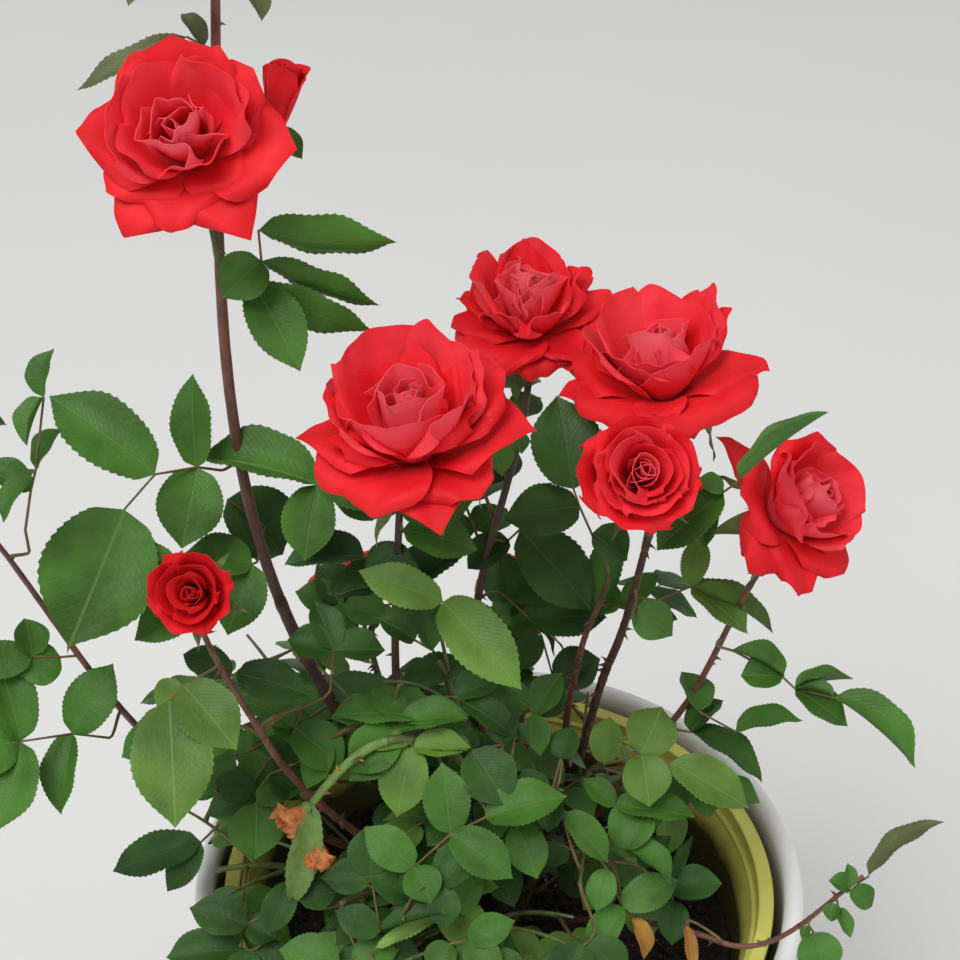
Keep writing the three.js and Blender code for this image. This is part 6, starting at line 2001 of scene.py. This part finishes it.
def add_prickles(piece, curve, radius, count, seed, first):
    """Curved cones on a curve, at seeded places, that point out and a little down."""
    random = Seeded(seed * PRICKLE_SEED + 7)
    for _ in range(count):
        place = random.between(first, LAST_PRICKLE)
        way = curve_way(curve, place)
        turn = random.between(0, 2 * math.pi)
        across = unit(np.cross(way, [0.31, 0.2, 0.93]))
        out = across * math.cos(turn) + np.cross(way, across) * math.sin(turn)
        long = random.between(*PRICKLE_LENGTH)
        start = curve_points(curve, [place])[0] + out * radius * PRICKLE_SINK
        share = np.linspace(0, 1, len(PRICKLE_RADII))[:, None]
        path = start + out * share * long - way * share**2 * long * PRICKLE_DROOP
        piece.add(tube(path, PRICKLE_RADII, 6))


class ROSEBUSH_OT_leaves(bpy.types.Operator):
    """Makes the stems, twigs, leaf stalks and leaf blades of every mass"""

    bl_idname = "rosebush.leaves"
    bl_label = "Leaves"

    def execute(self, context):
        settings = context.scene.rosebush_leaves
        wood = context.scene.rosebush_wood
        made = plant(context)
        masses = ["leaves_" + name for name in made.stems]
        self.stems(context, made, masses, wood)
        stalks = Joined()
        sprays = {green: [] for green in LEAF_GREENS}
        for name, plans in made.plans.items():
            random = Seeded(name_seed(name))
            for places, leaflets, green in plans:
                self.stalk(stalks, places)
                sprays[green or self.green(name, places[0], random)].extend(leaflets)
        finish = grained("leaf_stalk", settings.stalk, shade(settings.stalk, 0.6), 0.55, 200, 3, 0.2)
        place_piece("leaf_stalks", stalks.mesh("leaf_stalks"), [finish], masses)
        for index, green in enumerate(LEAF_GREENS):
            starts, ways, normals, lengths, *given = map(np.array, zip(*sprays[green]))
            width, fold, bend = (value[:, None] for value in given)
            seeded = width == 0
            look = {
                "bend": [np.where(seeded, limit, bend) for limit in LEAF_BEND],
                "fold": np.where(seeded, settings.fold, fold),
                "width": np.where(seeded, settings.width, width),
                "teeth": settings.teeth,
                **LEAF_LOOK,
            }
            piece = Joined()
            piece.add(blades(starts, ways, normals, lengths, look, 40 + index))
            finish = leaf_material(f"leaf_{green}", getattr(settings, green), LEAF_ROUGHNESS)
            blades_mesh = piece.mesh(f"leaves_{green}")
            place_piece(f"leaves_{green}_green", blades_mesh, [finish], masses)
        return {"FINISHED"}

    def green(self, name, base, random):
        """Which green a spray takes: bronzed at the top, mixed greens below, fresher near the rim."""
        draw = random.next()
        greens = CANE_GREENS if name in CANES else SHOOT_GREENS
        if name == "tall" and base[2] > TOP_HEIGHT:
            greens = TOP_GREENS
        return next(green for green, share in greens if draw < share)

    def stalk(self, piece, places):
        """A leaf's stalk along its rachis, with a small swelling where it leaves the stem."""
        count = 2 * len(places) - 1
        share = np.linspace(0, len(places) - 1, count)
        knots = np.arange(len(places))
        path = np.stack([np.interp(share, knots, values) for values in places.T], axis=-1)
        radii = np.linspace(*LEAF_STALK_RADII, count)
        radii[0] = LEAF_STALK_FOOT
        piece.add(tube(path, radii, 5))

    def stems(self, context, made, masses, wood):
        """The stems that the canes run on into, with the low shoots and their twigs."""
        groups = {
            "dark": [name for name in CANES if CANES[name]["bark"] == "dark"],
            "red": [name for name in CANES if CANES[name]["bark"] == "red"],
            "tall": ["tall"],
            "green": [name for name in made.stems if name in SHOOTS or CANES[name]["bark"] == "green"],
        }
        for kind, names in groups.items():
            piece = Joined()
            for name in names:
                if name in SHOOTS:
                    ends, seed, count = SHOOT_RADII, SHOOTS[name].seed, SHOOT_PRICKLES
                else:
                    ends = np.array(CANES[name]["radii"][1:]) * SLIM[name]
                    seed, count = CANES[name]["seed"], STEM_PRICKLES
                path = curve_points(made.stems[name], np.linspace(0, 1, 50))
                radii = np.linspace(*ends, 50)
                piece.add(tube(path, radii, 10, 0.12, 1.6, seed))
                add_prickles(piece, made.stems[name], ends[1], count, seed + STEM_PRICKLE_SEED, 0.15)
                for twig in made.twigs[name]:
                    path = curve_points(twig, np.linspace(0, 1, 14))
                    piece.add(tube(path, np.linspace(*TWIG_RADII, 14), 6))
            if kind == "tall":
                finish = cane_material("stem_tall", wood.cane_dark, wood.cane_red, *TALL_STEM_BROWN)
            else:
                own = getattr(wood, f"cane_{kind}")
                finish = cane_material(f"stem_{kind}", wood.bark, own, *STEM_BROWN)
            place_piece(f"stems_{kind}", piece.mesh(f"stems_{kind}"), [finish], masses)


def petal_rings(name):
    """The petals of a rose, ring by ring from its heart out. Each ring takes its given petals first,
    and the rest a golden angle apart with seeded changes."""
    bloom = BLOOMS[name]
    width, opened, count = bloom.width, bloom.opened, bloom.count
    random = np.random.default_rng(name_seed(name))
    tall = bloom_tall(bloom) / width
    given = {"heart": (), "cup": CUPS.get(name, ()), "guard": GUARDS.get(name, ())}
    wanted = {ring: round(count * part) for ring, part in RING_PETALS.items()}
    rings = {}
    for ring, (inmost, outmost) in RINGS.items():
        rows = [list(row) for row in given[ring]]
        more = wanted[ring] if ring != "guard" or not rows else 0
        if ring == "cup":
            more = max(FEWEST_CUPS, more - len(rows))
        share = (np.arange(more) + 0.5) / max(more, 1)
        for index in range(more):
            row = np.array(inmost) + (np.array(outmost) - inmost) * share[index]
            row[:2] *= opened
            row[2:4] *= max(1.0, tall / USUAL_TALL)
            row = row * (1 + random.uniform(*PETAL_CHANGE, len(row)))
            rows.append([GOLDEN_ANGLE * index + random.uniform(*PETAL_SWING) + FIRST_PETAL, *row])
        rows = np.array(rows)
        if ring == "guard":
            rows[:, 3:5] *= SPREAD.get(name, 1)
            rows[:, 5] = np.minimum(MOST_ROLL, rows[:, 5] * GUARD_ROLL + GUARD_ROLL_MORE)
        rings[ring] = ring_table(ring, rows, width, RUFFLED.get(name, 1), random)
        if name in WRAPPED:
            rings[ring]["wrap"] = np.full(len(rows), WRAPPED[name])
    return rings


def spiral_rows(count, measures):
    """Petals a golden angle apart, whose measures change evenly from the heart to the outside."""
    share = np.arange(count) / (count - 1)
    columns = [start + gain * share for start, gain in measures]
    return np.stack([GOLDEN_ANGLE * np.arange(count), *columns], axis=-1)


def closed_petals(name):
    """The petals of a closed bud: long, wrapped round the axis, and leaning out only a little."""
    width, count = BLOOMS[name].width, BLOOMS[name].count
    random = np.random.default_rng(name_seed(name))
    table = ring_table("heart", spiral_rows(count, BUD_PETALS), width, 1, random)
    table["foot"] = width * np.linspace(*BUD_FOOT, count)
    return table


def ring_table(ring, rows, width, ruffled, random):
    """The full measures of a ring's petals, in millimetres and radians."""
    foot, wrap, late, sharp, taper, rolled, ruffle, spiral, wider, pointed = RING_FORMS[ring]
    count = len(rows)
    half = rows[:, 4] * width * wider
    roll = np.maximum(rows[:, 5], LEAST_ROLL)
    return {
        "azimuth": np.radians(rows[:, 0]),
        "start": np.radians(rows[:, 1]), "end": np.radians(rows[:, 2]),
        "length": rows[:, 3] * width, "half": half, "roll": roll,
        "curl": np.radians(rows[:, 6]), "point": rows[:, 7] * pointed, "late": np.full(count, late),
        "sharp": np.full(count, sharp), "taper": np.full(count, taper), "wrap": np.full(count, wrap),
        "foot": width * foot * np.linspace(0.5, 1.5, count), "cup": np.full(count, width * 0.05),
        "rise": np.zeros(count), "tight": rolled / (half * roll),
        "ruffle": width * ruffle * ruffled * random.uniform(0.5, 1.4, count),
        "phase": random.uniform(0, 2 * np.pi, count), "spiral": np.full(count, width * spiral),
    }


class ROSEBUSH_OT_roses(bpy.types.Operator):
    """Makes the roses and buds, petal by petal, with their hips, sepals and stalks"""

    bl_idname = "rosebush.roses"
    bl_label = "Roses"

    def execute(self, context):
        settings = context.scene.rosebush_roses
        wood = context.scene.rosebush_wood
        heart, cup, outer, bud = (
            petal_material(f"petal_{kind}", *tints) for kind, tints in (
                ("heart", (settings.heart, settings.inner, settings.claw, settings.claw)),
                ("cup", (settings.inner, settings.inner_deep, settings.claw, settings.heart)),
                ("outer", (settings.outer, settings.outer_deep, settings.inner, settings.inner)),
                ("bud", (settings.bud, shade(settings.bud, 0.75), settings.bud, settings.bud)),
            )
        )
        green = grained("sepal_green", settings.sepal, shade(settings.sepal, 0.55), 0.6, 220, 3, 0.3)
        stalk = cane_material("flower_stalk", wood.bark, shade(wood.cane_green, 0.8), *STEM_BROWN)
        greens = Joined()
        stalks = Joined()
        for name, bloom in BLOOMS.items():
            axes, foot = bloom_frame(bloom.facing), bloom_foot(bloom)
            piece = Joined()
            tables = petal_rings(name).values() if bloom.opened else [closed_petals(name)]
            for finish, table in enumerate(tables):
                piece.add(in_frame(petals(table, 14, 21 if finish else 15), foot, axes), finish)
            finishes = [bud, bud, outer] if bloom.opened else [bud]
            if bloom.opened >= HALF_OPEN:
                finishes = [heart, cup, outer]
            place_piece(f"{name}_petals", piece.mesh(f"{name}_petals", 60), finishes, [name])
            self.green(greens, foot, axes, bloom, name_seed(name))
            curve = plant(context).stalks[name]
            radius = STALK_RADIUS * (SMALL_STALK if bloom.width < SMALL_BLOOM else 1)
            path = curve_points(curve, np.linspace(0, 1, 26))
            stalks.add(tube(path, radius, 10, 0.1, 1.5, bloom.count))
            add_prickles(stalks, curve, STALK_RADIUS, STALK_PRICKLES, bloom.count, 0.1)
        place_piece("rose_sepals", greens.mesh("rose_sepals"), [green], list(BLOOMS))
        place_piece("rose_stalks", stalks.mesh("rose_stalks"), [stalk], list(BLOOMS))
        return {"FINISHED"}

    def green(self, piece, foot, axes, bloom, seed):
        """A hip under the petals and five long sepals, held up round a bud and turned down under an
        open rose."""
        swell = max(LEAST_HIP, bloom.width * HIP_SHARE)
        piece.add(in_frame(lathe(np.array(HIP_PROFILE) * swell, 14), foot, axes))
        across, third, axis = axes
        long = SEPAL_LENGTH + bloom.width * SEPAL_GAIN
        turn = np.radians(np.arange(SEPALS) * 360 / SEPALS + seed % 60)
        out = across * np.cos(turn)[:, None] + third * np.sin(turn)[:, None]
        lift = math.radians(ROSE_LIFT - ROSE_LIFT_LOSS * bloom.opened if bloom.opened else BUD_LIFT)
        ways = out * math.cos(lift) + axis * math.sin(lift)
        normals = axis * math.cos(lift) - out * math.sin(lift)
        bases = foot + out * swell * 0.7 + axis * swell * 0.05
        look = {"bend": OPEN_SEPAL_BEND if bloom.opened else CLOSED_SEPAL_BEND, **SEPAL_LOOK}
        piece.add(blades(bases, ways, normals, np.full(SEPALS, long), look, seed, 9))


class ROSEBUSH_OT_spent(bpy.types.Operator):
    """Makes the two dried blooms on their old stalk, with a pale hanging leaf"""

    bl_idname = "rosebush.spent"
    bl_label = "Spent blooms"

    def execute(self, context):
        settings = context.scene.rosebush_roses
        leaves = context.scene.rosebush_leaves
        dry = grained("dry_petal", settings.spent, settings.spent_dark, 0.85, 240, 4, 0.8)
        pale = grained("pale_stalk", leaves.young, shade(leaves.young, 0.7), 0.6, 200, 3, 0.2)
        tip = np.array(SPENT["tip"], float)
        curve = limb_curve(SPENT["joint"], heading(*SPENT["bend"]), tip, heading(*SPENT["lean"]))
        piece = Joined()
        path = curve_points(curve, np.linspace(0, 1, 24))
        piece.add(tube(path, np.linspace(*SPENT["radii"][1:], 24), 10, 0.15, 1.5, 9), 1)
        add_prickles(piece, curve, SPENT["radii"][1], SPENT_PRICKLES, SPENT_PRICKLE_SEED, 0.1)
        for index, (x, y, z, size) in enumerate(SPENT["blooms"]):
            axis = unit(np.array([x, y, z]) - tip)
            across = unit(np.cross(axis, [0, 0, 1]))
            axes = (across, np.cross(axis, across), axis)
            foot = tip + axis * SPENT["stalks"][index]
            piece.add(tube(np.linspace(tip, foot, 4), np.full(4, 1.2), 8), 1)
            piece.add(in_frame(petals(self.table(size, index), 9, 11), foot, axes))
            hip = np.array(DRY_HIP_PROFILE) * size * 0.2
            piece.add(in_frame(lathe(hip, 12), foot + axis * 1.5, axes), 1)
        hang = np.array([SPENT["hanging_tip"]], float) - tip
        way = unit(hang)
        normal = unit(np.cross(way, [[1.0, 0.3, 0.0]]))
        piece.add(blades(tip[None], way, normal, [np.linalg.norm(hang)], HANGING_LOOK, 5), 1)
        made = piece.mesh("spent_blooms_dry")
        place_piece("spent_blooms_dry", made, [dry, pale], ["spent_blooms"])
        return {"FINISHED"}

    def table(self, size, index):
        """Shrunken petals: short, closed, and strongly ruffled."""
        random = np.random.default_rng(index + DRY_SEED)
        return ring_table("heart", spiral_rows(DRY_COUNT, DRY_PETALS), size, DRY_RUFFLE, random)


class ROSEBUSH_PT_panel(bpy.types.Panel):
    """Lists the settings and the steps"""

    bl_idname = "ROSEBUSH_PT_panel"
    bl_label = "Rose bush"
    bl_space_type = "VIEW_3D"
    bl_region_type = "UI"
    bl_category = "Rose bush"

    def draw(self, context):
        for key, group in SETTINGS.items():
            box = self.layout.box()
            for name in group.__annotations__:
                box.prop(getattr(context.scene, key), name)
        for step in STEPS:
            self.layout.operator(step.bl_idname)


STEPS = (
    ROSEBUSH_OT_stage,
    ROSEBUSH_OT_pots,
    ROSEBUSH_OT_soil,
    ROSEBUSH_OT_wood,
    ROSEBUSH_OT_leaves,
    ROSEBUSH_OT_roses,
    ROSEBUSH_OT_spent,
)
CLASSES = (*SETTINGS.values(), *STEPS, ROSEBUSH_PT_panel)


def register():
    for item in CLASSES:
        bpy.utils.register_class(item)
    for name, group in SETTINGS.items():
        setattr(bpy.types.Scene, name, PointerProperty(type=group))


def unregister():
    for name in SETTINGS:
        delattr(bpy.types.Scene, name)
    for item in reversed(CLASSES):
        bpy.utils.unregister_class(item)


def main():
    register()
    bpy.ops.rosebush.stage()
    bpy.ops.rosebush.pots()
    bpy.ops.rosebush.soil()
    bpy.ops.rosebush.wood()
    bpy.ops.rosebush.leaves()
    bpy.ops.rosebush.roses()
    bpy.ops.rosebush.spent()


if __name__ == "__main__":
    main()
